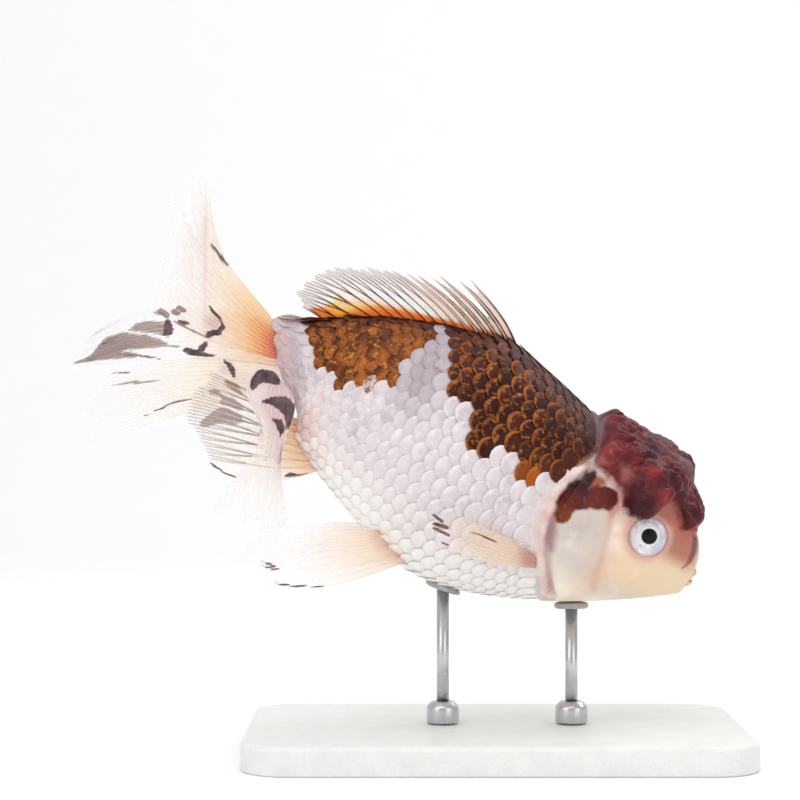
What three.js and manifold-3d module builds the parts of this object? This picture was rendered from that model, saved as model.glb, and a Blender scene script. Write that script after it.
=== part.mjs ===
// An oranda goldfish, about 100 mm from mouth to tail root, as a still museum-style model on a small stand.
// Millimetres, +Z up. World origin: centre of the underside of the stand's base. The fish faces +X, nose down.
//
// Everything on the fish is worked out in its own frame: x runs along the body from the tail root (0) to the
// mouth (about 99), y is sideways (its right side is -y), and z is up towards its back. One group then tips
// that frame nose-down and lifts it over the stand.

import * as THREE from 'three';
import { mergeVertices } from 'three/addons/utils/BufferGeometryUtils.js';
import Module from 'manifold-3d';

const wasm = await Module();
wasm.setup();

// ---------------------------------------------------------------- driving dimensions

const GAP = 0.3;                      // clear space between neighbouring pieces
const NOSE_DOWN = 28.5;               // degrees that the body axis dips towards the mouth
const TAIL_ROOT = [-45.6, 0, 84.5];   // where the fish's own origin hangs in the world

// The body without its hood: place along the body, level of the back, level of the belly, half width.
const BODY = [
  [-1.2, 4.2, -2.4, 1.6],
  [0, 6, -4.4, 3],
  [7, 9.9, -11.2, 5.6],
  [14, 15.8, -16.2, 9.4],
  [24, 20.2, -21, 14.4],
  [34, 23.2, -24.8, 18.6],
  [44, 25, -27.4, 21],
  [54, 23, -27, 21.4],
  [65, 19.4, -23.8, 20.2],
  [75, 17.6, -19.2, 18.2],
  [84, 14.8, -14.2, 15.2],
  [91, 11.4, -9.8, 11.6],
  [96, 7.1, -6.4, 7.6],
  [98.4, 2.9, -4.4, 4.6],
  [99.2, -0.2, -2.4, 1.8],
];
const TAIL_RAKE = { slope: 0.55, length: 16 };   // the tail end leans: its top lies further back than its foot
const WIDEST_LEVEL = 0.46;            // share of the height at which the section is widest
const BACK_POWERS = [1.12, 1];        // section above that level: slightly keeled
const BELLY_POWERS = [0.92, 0.94];    // and below it: full and round
const SECTION_SIDES = 28;
const BODY_RINGS = 33;

const STALK_CUT = 8;                  // where the tail stalk ends and the trunk begins
const HEAD_CUT = 64;                  // where the trunk ends and the head begins

// The hood: how thick it stands on the skull along the head, and how far down each side it reaches.
const HOOD = {
  places: [65.8, 67, 70, 74.5, 79, 84.4, 88.7, 91.3, 93.3, 95],
  thickness: [1.3, 3, 4.6, 5.2, 6.1, 6.8, 5.7, 4.4, 2.9, 1.3],
  reach: [50, 54, 61, 70, 74, 54, 44, 50, 50, 38],     // degrees from the top of the head
  edge: 1.3,                                           // thickness at the rim
  lobes: { height: 0.35, along: 1.05, around: 9 },     // low swellings all over it
  cells: [16, 13],
};

// The gill covers: a plate on each cheek, from its hinge at the front to its free edge behind.
const GILL = {
  top: 58, bottom: 146,                                // degrees round the section
  rear: [68.4, 65.6, 66.9, 71.2, 74.6],                // free edge, from top to bottom
  front: [76, 77, 78.6, 79.6, 80],                     // hinge line, from top to bottom
  frontProud: 0.75, rearProud: 1.7,                    // how far its face stands off the cheek
  cells: [8, 5],
};

const EYE = { centre: [85.3, 11.9, 2.7], radius: 4.7, cells: [16, 10] };
const LIPS = { centre: [98.7, 0, -1.5], width: 5.4, height: 3.4, thickness: 1.5, tilt: -14, cells: [6, 16] };

// Fins are fans of rays. root lists points along the line where the fin grows, from its first ray to its last,
// as [along, out, up]. A key ray is [place on the root from 0 to 1, length, rises, leans]: rises are the
// degrees that it climbs from straight back towards the back of the fish, at even steps from root to tip, and
// leans are the degrees that it turns out to the side. Rays between the keys are interpolated.
const FINS = {
  tail_upper: [
    {
      side: -1, cells: [8, 10], root: [[-3.4, 0.9, 4.9], [-1.9, 1.8, 1.2], [-0.4, 2.4, -2.2]],
      rays: [
        [0, 32, [22, 22, 46, 62], [6, 10, 18, 10]],
        [0.25, 37, [15, 26, 42, 56], [12, 20, 10, -14]],
        [0.5, 37, [8, 16, 30, 46], [18, 28, 4, -24]],
        [0.75, 31, [0, 6, 16, 24], [24, 32, 6, -16]],
        [1, 29, [-16, -12, -2, 8], [30, 36, 14, -6]],
      ],
    },
    {
      side: 1, cells: [6, 10], root: [[-3.4, 0.9, 4.7], [-1.9, 1.8, 1.2], [-0.4, 2.4, -2.1]],
      rays: [
        [0, 44, [-12, -22, -36, -66], [10, 18, 24, 10]],
        [0.5, 48, [-20, -24, -36, -54], [22, 30, 20, 4]],
        [1, 49, [-28, -26, -32, -36], [32, 38, 22, 4]],
      ],
    },
  ],
  tail_lower: [
    {
      side: -1, cells: [7, 12], root: [[0.6, 2.4, -3.4], [2, 2.6, -4.4], [3.6, 2.6, -5.6]],
      rays: [
        [0, 32, [-70, -140, -106, -78], [24, 30, 12, 0]],
        [0.5, 34, [-140, -118, -106, -106], [30, 34, 2, -10]],
        [1, 36, [-190, -98, -120, -134], [34, 34, -12, -20]],
      ],
    },
    {
      side: 1, cells: [6, 10], root: [[0.6, 2.4, -3.4], [2, 2.6, -4.4], [3.6, 2.6, -5.6]],
      rays: [
        [0, 40, [-36, -28, -26, -40], [34, 34, 20, 4]],
        [0.5, 50, [-40, -36, -36, -46], [40, 36, 24, 6]],
        [1, 54, [-50, -44, -46, -48], [46, 36, 26, 10]],
      ],
    },
  ],
  anal_fin: [
    {
      side: -1, cells: [6, 6], root: [[9, 1.6, -11], [14, 2, -15.2], [19.5, 2, -18.2]],
      rays: [
        [0, 18, [-8, 0, 4], [10, 12, 6]],
        [0.5, 24, [-22, -14, -8], [14, 14, 6]],
        [1, 24, [-48, -30, -4], [18, 14, 6]],
      ],
    },
    {
      side: 1, cells: [6, 6], root: [[9, 1.6, -11], [14, 2, -15.2], [19, 2, -18]],
      rays: [
        [0, 20, [4, 2, -6], [12, 16, 8]],
        [0.5, 27, [-8, -12, -18], [16, 18, 8]],
        [1, 25, [-30, -26, -14], [20, 18, 8]],
      ],
    },
  ],
  pelvic_fin: [
    {
      side: -1, cells: [5, 7], root: [[37, 9.5, -22.4], [40.5, 9, -24.4], [44.5, 8.5, -25.6]],
      rays: [
        [0, 30, [-22, -34, -44], [22, 26, 10]],
        [0.5, 36, [-34, -38, -38], [26, 26, 12]],
        [1, 38, [-50, -38, -20], [30, 26, 14]],
      ],
    },
    {
      side: 1, cells: [5, 7], root: [[37, 9.5, -22.4], [40.5, 9, -24.4], [44.5, 8.5, -25.6]],
      rays: [
        [0, 30, [-22, -34, -44], [22, 26, 10]],
        [0.5, 36, [-32, -36, -36], [26, 26, 12]],
        [1, 36, [-46, -36, -20], [30, 26, 14]],
      ],
    },
  ],
  pectoral_fin: [-1, 1].map((side) => ({
    side, cells: [4, 6], root: [[65.2, 18.9, -11], [66, 18.4, -12.6], [66.8, 17.6, -14.2]],
    rays: [
      [0, 24, [4, -4, -10], [28, 20, 12]],
      [0.5, 23.5, [-8, -8, -10], [28, 22, 14]],
      [1, 20.5, [-24, -14, -6], [28, 24, 16]],
    ],
  })),
};
const DORSAL = {
  side: 1, cells: [13, 4],
  rootPlaces: [44.2, 38, 32, 26, 20, 14, 7.5], rootDepth: 0.6,
  rays: [
    [0, 18.6, [44, 24, 14], [0, 0, 0]],
    [0.1, 19, [34, 18, 10], [0, 1, 1]],
    [0.45, 17.6, [22, 10, 2], [0, -1, -2]],
    [0.75, 16, [10, 4, -4], [0, 1, 3]],
    [0.9, 13, [0, -6, -12], [0, 1, 3]],
    [1, 7, [-6, -10, -14], [0, 0, 0]],
  ],
};
const FIN_THICKNESS = { root: 1.1, tip: 0.6 };
const FIN_BURY = 1.5;                 // how far a fin runs on into the body before it is trimmed
const RAY_STEPS = 24;

const STAND = {
  base: [104, 64, 6], corner: 9, bevel: 1,
  rodRadius: 1.3, rodPlaces: [-11, 16], rodSides: 12,
  collarRadius: 3.4, collarHeight: 4.5,
  padRadius: 3.6, padThickness: 1.5,
};

// ---------------------------------------------------------------- small mathematics

const radians = (degrees) => degrees * Math.PI / 180;
const mix = (a, b, f) => a + (b - a) * f;
const spread = (count) => Array.from({ length: count }, (_, i) => i / (count - 1));

/** A smooth curve through values at rising places; values may be numbers or lists of numbers. */
function curveThrough(values, places = spread(values.length)) {
  const rows = values.map((v) => [v].flat());
  const last = rows.length - 1;
  const slope = (i) => rows[i].map((v, k) => (rows[i + 1][k] - v) / (places[i + 1] - places[i]));
  const slopes = spread(last + 1).map((_, i) => {
    if (i === 0) return slope(0);
    if (i === last) return slope(last - 1);
    const before = places[i] - places[i - 1];
    const after = places[i + 1] - places[i];
    const left = slope(i - 1);
    const right = slope(i);
    return left.map((v, k) => (v * after + right[k] * before) / (after + before));
  });
  return (x) => {
    const at = Math.min(Math.max(x, places[0]), places[last]);
    let i = 0;
    while (i < last - 1 && at > places[i + 1]) i += 1;
    const width = places[i + 1] - places[i];
    const f = (at - places[i]) / width;
    const blend = [2 * f ** 3 - 3 * f ** 2 + 1, f ** 3 - 2 * f ** 2 + f, 3 * f ** 2 - 2 * f ** 3, f ** 3 - f ** 2];
    return rows[i].map((v, k) => (
      v * blend[0] + width * slopes[i][k] * blend[1] + rows[i + 1][k] * blend[2] + width * slopes[i + 1][k] * blend[3]
    ));
  };
}

const signedPower = (v, power) => Math.sign(v) * Math.abs(v) ** power;

// ---------------------------------------------------------------- closed solids from grids and rings

/** Turns points and triangle corner numbers into a geometry with flat faces. */
function geometryOf(points, corners) {
  const geometry = new THREE.BufferGeometry();
  geometry.setAttribute('position', new THREE.Float32BufferAttribute(points.flat(), 3));
  geometry.setIndex(corners);
  geometry.computeVertexNormals();
  return geometry;
}

/** Closes a stack of rings, listed from tail to mouth, with a fan at each end. */
function ringSolid(rings) {
  const sides = rings[0].length;
  const points = rings.flat();
  const corners = [];
  for (let r = 0; r < rings.length - 1; r += 1) {
    for (let k = 0; k < sides; k += 1) {
      const a = r * sides + k;
      const b = r * sides + (k + 1) % sides;
      corners.push(a, a + sides, b, b, a + sides, b + sides);
    }
  }
  const centreOf = (ring) => [0, 1, 2].map((axis) => ring.reduce((sum, p) => sum + p[axis], 0) / sides);
  const tail = points.push(centreOf(rings[0])) - 1;
  const nose = points.push(centreOf(rings.at(-1))) - 1;
  const lastRing = (rings.length - 1) * sides;
  for (let k = 0; k < sides; k += 1) {
    const next = (k + 1) % sides;
    corners.push(tail, k, next, nose, lastRing + next, lastRing + k);
  }
  return geometryOf(points, corners);
}

/** A closed plate between two faces, each a function of (u, v) from 0 to 1, with walls round its rim. */
function plateSolid(front, back, [across, along]) {
  const points = [front, back].flatMap((face) => (
    spread(across + 1).flatMap((u) => spread(along + 1).map((v) => face(u, v)))
  ));
  const at = (layer, i, j) => layer * (across + 1) * (along + 1) + i * (along + 1) + j;
  const corners = [];
  const quad = (a, b, c, d) => corners.push(a, b, c, a, c, d);
  for (let i = 0; i < across; i += 1) {
    for (let j = 0; j < along; j += 1) {
      quad(at(0, i, j), at(0, i + 1, j), at(0, i + 1, j + 1), at(0, i, j + 1));
      quad(at(1, i, j), at(1, i, j + 1), at(1, i + 1, j + 1), at(1, i + 1, j));
    }
  }
  for (let i = 0; i < across; i += 1) {
    quad(at(0, i, 0), at(1, i, 0), at(1, i + 1, 0), at(0, i + 1, 0));
    quad(at(0, i + 1, along), at(1, i + 1, along), at(1, i, along), at(0, i, along));
  }
  for (let j = 0; j < along; j += 1) {
    quad(at(0, 0, j + 1), at(1, 0, j + 1), at(1, 0, j), at(0, 0, j));
    quad(at(0, across, j), at(1, across, j), at(1, across, j + 1), at(0, across, j + 1));
  }
  return geometryOf(points, corners);
}

/** A geometry as a solid that can be cut. An inside-out one is turned. */
function solidOf(geometry) {
  const bare = geometry.clone();
  bare.deleteAttribute('normal');
  bare.deleteAttribute('uv');
  const merged = mergeVertices(bare, 1e-4);
  const vertProperties = new Float32Array(merged.attributes.position.array);
  const triVerts = new Uint32Array(merged.index.array);
  const solid = new wasm.Manifold(new wasm.Mesh({ numProp: 3, vertProperties, triVerts }));
  if (solid.volume() > 0) return solid;
  for (let i = 0; i < triVerts.length; i += 3) [triVerts[i], triVerts[i + 1]] = [triVerts[i + 1], triVerts[i]];
  return new wasm.Manifold(new wasm.Mesh({ numProp: 3, vertProperties, triVerts }));
}

function geometryFrom(solid) {
  const mesh = solid.getMesh();
  const geometry = new THREE.BufferGeometry();
  geometry.setAttribute('position', new THREE.BufferAttribute(new Float32Array(mesh.vertProperties), 3));
  geometry.setIndex(Array.from(mesh.triVerts));
  geometry.computeVertexNormals();
  return geometry;
}

/** The slice of space between two places along the body. */
function slice(from, to) {
  const box = new THREE.BoxGeometry(to - from, 200, 200);
  box.translate((from + to) / 2, 0, 0);
  return solidOf(box);
}

// ---------------------------------------------------------------- the body

const stationAt = curveThrough(BODY);

/** The station parameter (0 to 1) at a place along the body, by halving. */
function parameterAt(place) {
  let [low, high] = [0, 1];
  for (let i = 0; i < 30; i += 1) {
    const middle = (low + high) / 2;
    if (stationAt(middle)[0] < place) low = middle;
    else high = middle;
  }
  return (low + high) / 2;
}

/** A point on the body: angle is in degrees from the top of the section, positive to the left side. */
function bodyPoint(parameter, angle, grow = 0) {
  const [along, back, belly, halfWidth] = stationAt(parameter);
  const level = mix(belly, back, WIDEST_LEVEL);
  const sine = Math.sin(radians(angle));
  const cosine = Math.cos(radians(angle));
  const [sidePower, levelPower] = cosine > 0 ? BACK_POWERS : BELLY_POWERS;
  const height = (cosine > 0 ? back - level : level - belly) + grow;
  const z = level + height * signedPower(cosine, levelPower);
  const rake = TAIL_RAKE.slope * (1 - THREE.MathUtils.smoothstep(along, 0, TAIL_RAKE.length));
  return [along - rake * z, (halfWidth + grow) * signedPower(sine, sidePower), z];
}

/** The outward direction of the body's face at a point. */
function bodyNormal(parameter, angle) {
  const step = 1e-3;
  const low = Math.max(parameter - step, 0);
  const high = Math.min(parameter + step, 1);
  const vector = (a, b) => new THREE.Vector3(...b).sub(new THREE.Vector3(...a));
  const alongBody = vector(bodyPoint(low, angle), bodyPoint(high, angle));
  const roundBody = vector(bodyPoint(parameter, angle - 0.5), bodyPoint(parameter, angle + 0.5));
  return alongBody.cross(roundBody).normalize();
}

/** A point standing off the body's face by a height. */
function raisedPoint(parameter, angle, height) {
  const point = new THREE.Vector3(...bodyPoint(parameter, angle));
  return point.addScaledVector(bodyNormal(parameter, angle), height).toArray();
}

/** The whole body as one solid, grown outwards by a distance. */
function bodySolid(grow = 0) {
  const rings = spread(BODY_RINGS).map((parameter) => (
    Array.from({ length: SECTION_SIDES }, (_, k) => {
      const point = bodyPoint(parameter, 360 * k / SECTION_SIDES, grow);
      const endShift = grow * (2 * parameter - 1) ** 15;
      return [point[0] + endShift, point[1], point[2]];
    })
  ));
  return solidOf(ringSolid(rings));
}


// ---------------------------------------------------------------- head pieces

function hoodGeometry() {
  const thicknessAt = curveThrough(HOOD.thickness, HOOD.places);
  const reachAt = curveThrough(HOOD.reach, HOOD.places);
  const { height, along, around } = HOOD.lobes;
  const face = (outer) => (u, v) => {
    const place = mix(HOOD.places[0], HOOD.places.at(-1), v);
    const turn = 2 * u - 1;
    const angle = turn * reachAt(place)[0];
    const parameter = parameterAt(place);
    if (!outer) return raisedPoint(parameter, angle, GAP);
    const fullness = (1 - turn ** 4) * Math.min(1, 6 * v + 0.1, 6 * (1 - v) + 0.1);
    const lobe = height * Math.sin(place * along) * Math.cos(radians(angle * around));
    const thick = mix(HOOD.edge, thicknessAt(place)[0] * (1 - 0.35 * turn ** 2) + lobe, fullness);
    return raisedPoint(parameter, angle, thick);
  };
  return plateSolid(face(true), face(false), HOOD.cells);
}

/** A gill cover, or the same plate grown all round by a distance. */
function gillCoverGeometry(side, grow = 0) {
  const rearAt = curveThrough(GILL.rear);
  const frontAt = curveThrough(GILL.front);
  const degreesPerMillimetre = 3;
  const face = (outer) => (u, v) => {
    const place = mix(rearAt(u)[0] - grow, frontAt(u)[0] + grow, v);
    const spare = grow * degreesPerMillimetre;
    const angle = side * mix(GILL.top - spare, GILL.bottom + spare, u);
    const proud = mix(GILL.rearProud, GILL.frontProud, v) + grow;
    return raisedPoint(parameterAt(place), angle, outer ? proud : GAP - grow);
  };
  return plateSolid(face(true), face(false), GILL.cells);
}

function eyeGeometry(side, grow = 0) {
  const ball = new THREE.SphereGeometry(EYE.radius + grow, ...EYE.cells);
  ball.translate(EYE.centre[0], side * EYE.centre[1], EYE.centre[2]);
  return ball;
}

/** The lips: a soft oval ring round the small closed mouth. */
function lipsGeometry(grow = 0) {
  const ring = new THREE.TorusGeometry(1, (LIPS.thickness / 2 + grow) / (LIPS.width / 2), ...LIPS.cells);
  ring.rotateY(Math.PI / 2);
  ring.scale(LIPS.width / 2, LIPS.width / 2, LIPS.height / 2);
  ring.rotateY(radians(LIPS.tilt));
  ring.translate(...LIPS.centre);
  return ring;
}

// ---------------------------------------------------------------- fins

/** Returns point(u, v) for a fin: u picks the ray, v runs from its root (0) to its tip (1); v < 0 is buried. */
function finShape({ side, root, rays }) {
  const steps = rays[0][2].length;
  const rayAt = curveThrough(rays.map(([, ...numbers]) => numbers.flat()), rays.map(([place]) => place));
  const rootAt = curveThrough(root);
  const heading = (rise, lean) => new THREE.Vector3(
    -Math.cos(radians(rise)) * Math.cos(radians(lean)),
    Math.sin(radians(lean)),
    Math.sin(radians(rise)) * Math.cos(radians(lean)),
  );
  return (u, v) => {
    const [length, ...turns] = rayAt(u);
    const riseAt = curveThrough(turns.slice(0, steps));
    const leanAt = curveThrough(turns.slice(steps));
    const point = new THREE.Vector3(...rootAt(u));
    if (v < 0) point.addScaledVector(heading(riseAt(0)[0], leanAt(0)[0]), v * length);
    const stepLength = length / RAY_STEPS;
    for (let i = 0; i < v * RAY_STEPS; i += 1) {
      const share = Math.min(1, v * RAY_STEPS - i);
      const middle = (i + 0.5) / RAY_STEPS;
      point.addScaledVector(heading(riseAt(middle)[0], leanAt(middle)[0]), stepLength * share);
    }
    return point.setY(point.y * side);
  };
}

function finGeometry(fin) {
  const shape = finShape(fin);
  const longest = Math.max(...fin.rays.map(([, length]) => length));
  const start = -FIN_BURY / longest;
  const face = (direction) => (u, along) => {
    const v = mix(start, 1, along);
    const step = 0.01;
    const acrossFin = shape(Math.min(u + step, 1), v).sub(shape(Math.max(u - step, 0), v));
    const alongFin = shape(u, Math.min(v + step, 1)).sub(shape(u, v - step));
    const normal = acrossFin.cross(alongFin).normalize();
    const half = direction * mix(FIN_THICKNESS.root, FIN_THICKNESS.tip, Math.max(v, 0)) / 2;
    return shape(u, v).addScaledVector(normal, half).toArray();
  };
  return plateSolid(face(1), face(-1), fin.cells);
}

function dorsalRoot() {
  return DORSAL.rootPlaces.map((place) => [place, 0, stationAt(parameterAt(place))[1] - DORSAL.rootDepth]);
}

// ---------------------------------------------------------------- materials and the fish

const paint = (colour, roughness, metalness = 0) => (
  new THREE.MeshStandardMaterial({ color: colour, roughness, metalness })
);
const scales = paint(0xd8d2d6, 0.35);
const hoodSkin = paint(0x6e3034, 0.45);
const cheek = paint(0xeadfcb, 0.35);
const eyeGloss = paint(0xd9dade, 0.1);
const lipSkin = paint(0xb8735c, 0.4);
const finSheet = paint(0xf4c9a4, 0.4);
const darkFinSheet = paint(0x9c7a66, 0.4);
const satinPaint = paint(0xe6e6e4, 0.5);
const steel = paint(0xb9bcc0, 0.3, 1);
const softPad = paint(0xf2f0ea, 0.9);

const fish = new THREE.Group();
fish.rotation.y = radians(NOSE_DOWN);
fish.position.set(...TAIL_ROOT);

/** Adds a solid to a group as a named mesh. */
function add(group, name, solid, material) {
  const mesh = new THREE.Mesh(geometryFrom(solid), material);
  mesh.name = name;
  group.add(mesh);
}

const sides = [['right', -1], ['left', 1]];
const lipSeat = solidOf(lipsGeometry(GAP));

const body = bodySolid();
const stalk = body.intersect(slice(-20, STALK_CUT - GAP / 2));
const trunk = body.intersect(slice(STALK_CUT + GAP / 2, HEAD_CUT - GAP / 2));
let head = body.intersect(slice(HEAD_CUT + GAP / 2, 130)).subtract(lipSeat);
let hood = solidOf(hoodGeometry()).subtract(lipSeat);
let clearOfFish = bodySolid(GAP);
for (const [, side] of sides) {
  const socket = solidOf(eyeGeometry(side, GAP));
  const gillClearance = solidOf(gillCoverGeometry(side, GAP));
  head = head.subtract(socket);
  hood = hood.subtract(socket).subtract(gillClearance);
  clearOfFish = clearOfFish.add(gillClearance);
}

add(fish, 'tail_stalk', stalk, scales);
add(fish, 'trunk', trunk, scales);
add(fish, 'head', head, cheek);
add(fish, 'hood', hood, hoodSkin);
add(fish, 'lips', solidOf(lipsGeometry()), lipSkin);
for (const [word, side] of sides) {
  add(fish, `gill_cover_${word}`, solidOf(gillCoverGeometry(side)), cheek);
  add(fish, `eye_${word}`, solidOf(eyeGeometry(side)), eyeGloss);
}

const dorsal = { ...DORSAL, root: dorsalRoot() };
add(fish, 'dorsal_fin', solidOf(finGeometry(dorsal)).subtract(clearOfFish), darkFinSheet);
for (const [name, pair] of Object.entries(FINS)) {
  for (const fin of pair) {
    const word = fin.side < 0 ? 'right' : 'left';
    const material = name === 'anal_fin' ? darkFinSheet : finSheet;
    add(fish, `${name}_${word}`, solidOf(finGeometry(fin)).subtract(clearOfFish), material);
  }
}

// ---------------------------------------------------------------- the stand

/** Moves a solid made in the fish's frame to the world. */
function toWorld(solid) {
  fish.updateMatrix();
  return solidOf(geometryFrom(solid).applyMatrix4(fish.matrix));
}

function upright(radius, bottom, top) {
  const rod = new THREE.CylinderGeometry(radius, radius, top - bottom, STAND.rodSides);
  rod.rotateX(Math.PI / 2);
  rod.translate(0, 0, (bottom + top) / 2);
  return rod;
}

function baseGeometry() {
  const [length, width, height] = STAND.base;
  const { corner, bevel } = STAND;
  const [halfLength, halfWidth] = [length / 2 - bevel, width / 2 - bevel];
  const outline = new THREE.Shape();
  outline.moveTo(-halfLength + corner, -halfWidth);
  outline.absarc(halfLength - corner, -halfWidth + corner, corner, -Math.PI / 2, 0);
  outline.absarc(halfLength - corner, halfWidth - corner, corner, 0, Math.PI / 2);
  outline.absarc(-halfLength + corner, halfWidth - corner, corner, Math.PI / 2, Math.PI);
  outline.absarc(-halfLength + corner, -halfWidth + corner, corner, Math.PI, 1.5 * Math.PI);
  const plate = new THREE.ExtrudeGeometry(outline, {
    depth: height - 2 * bevel, bevelSize: bevel, bevelThickness: bevel, bevelSegments: 1, curveSegments: 4,
  });
  plate.translate(0, 0, bevel);
  return plate;
}

function collarGeometry() {
  const inner = STAND.rodRadius + GAP;
  const outer = STAND.collarRadius;
  const bottom = STAND.base[2] + GAP;
  const top = bottom + STAND.collarHeight;
  const profile = [
    [inner, bottom], [outer, bottom], [outer, top - 1.2], [outer - 1, top], [inner, top], [inner, bottom],
  ].map(([radius, level]) => new THREE.Vector2(radius, level));
  const ring = new THREE.LatheGeometry(profile, STAND.rodSides);
  ring.rotateX(Math.PI / 2);
  return ring;
}

const stand = new THREE.Group();
const fishClearance = toWorld(clearOfFish);
const padShell = toWorld(bodySolid(GAP + STAND.padThickness));
const rodClearance = toWorld(bodySolid(2 * GAP + STAND.padThickness));
const rodTop = TAIL_ROOT[2] * 0.6;

add(stand, 'stand_base', solidOf(baseGeometry()), satinPaint);
STAND.rodPlaces.forEach((place, i) => {
  const word = ['rear', 'front'][i];
  const shifted = (geometry) => solidOf(geometry.translate(place, 0, 0));
  const rod = shifted(upright(STAND.rodRadius, STAND.base[2] + GAP, rodTop)).subtract(rodClearance);
  const pad = shifted(upright(STAND.padRadius, STAND.base[2] + 10, rodTop)).intersect(padShell).subtract(fishClearance);
  add(stand, `stand_rod_${word}`, rod, steel);
  add(stand, `stand_collar_${word}`, shifted(collarGeometry()), steel);
  add(stand, `stand_pad_${word}`, pad, softPad);
});

const group = new THREE.Group();
group.add(fish, stand);

export default group;
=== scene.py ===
# %% [markdown]
# A museum-style model of an oranda goldfish on a small stand. The part's solids are the frame: they give the
# sizes, the places and the stand. This script gives the fish its skin, scales, eyes and soft fins.
# Each step is two cells: words on what the piece is and why it is made this way, then short code. One could
# sculpt such a fish, but here scales and fin rays can be changed by a number, because everything grows from
# a few functions and tables.

from math import cos, pi, radians, sin

import bmesh
import bpy
import numpy as np
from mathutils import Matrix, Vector
from mathutils.bvhtree import BVHTree


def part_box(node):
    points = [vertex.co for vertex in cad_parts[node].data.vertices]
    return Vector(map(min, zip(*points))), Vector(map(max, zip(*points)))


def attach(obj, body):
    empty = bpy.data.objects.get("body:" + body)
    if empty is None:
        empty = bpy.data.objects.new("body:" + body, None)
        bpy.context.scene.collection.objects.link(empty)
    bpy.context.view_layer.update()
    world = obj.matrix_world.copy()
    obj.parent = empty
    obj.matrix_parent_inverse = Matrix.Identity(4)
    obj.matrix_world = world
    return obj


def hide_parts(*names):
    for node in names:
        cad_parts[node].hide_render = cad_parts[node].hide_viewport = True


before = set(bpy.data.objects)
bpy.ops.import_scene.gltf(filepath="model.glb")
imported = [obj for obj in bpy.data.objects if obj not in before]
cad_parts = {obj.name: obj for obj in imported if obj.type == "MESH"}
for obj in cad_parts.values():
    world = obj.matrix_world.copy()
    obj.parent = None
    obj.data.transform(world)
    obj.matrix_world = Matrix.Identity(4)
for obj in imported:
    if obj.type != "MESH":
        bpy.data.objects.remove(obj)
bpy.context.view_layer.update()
PIECES = []

# %% [markdown]
# The camera comes first, because every later choice is judged through it. A real product camera would stand
# about half a metre away with a short telephoto lens, level with the fish, so that the flank isn't
# distorted. A 100 mm lens on a 36 mm wide sensor does the same here.

# %% Camera
MM = 0.001
CAMERA_PLACE = (-20 * MM, -467 * MM, 74 * MM)

camera_data = bpy.data.cameras.new("camera")
camera_data.lens = 100
camera_data.sensor_width = 36
camera = bpy.data.objects.new("camera", camera_data)
camera.location = CAMERA_PLACE
camera.rotation_euler = (radians(90), 0, 0)
bpy.context.scene.collection.objects.link(camera)
bpy.context.scene.camera = camera
print("camera looks along +Y from", CAMERA_PLACE)

# %% [markdown]
# Painting code is easier to read with a small helper for materials. A material is a network of nodes, and
# most networks need the same few: read a stored number, make noise, fade a value in, and mix two colours.
# Each gets one short call, which takes a plain number or another node's output. Paint goes on in layers, as
# on a real model. Colours are the 0 to 255 values of a paint chart, turned into linear light for shaders.

# %% Paint colours and material helper
def paint(red, green, blue):
    """A paint chart colour as linear light with full opacity."""
    chart = np.array([red, green, blue]) / 255
    linear = np.where(chart <= 0.04045, chart / 12.92, ((chart + 0.055) / 1.055) ** 2.4)
    return (*[float(value) for value in linear], 1)


SHORT_NAMES = {"specular": "Specular IOR Level", "coat": "Coat Weight", "subsurface": "Subsurface Weight"}


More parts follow.
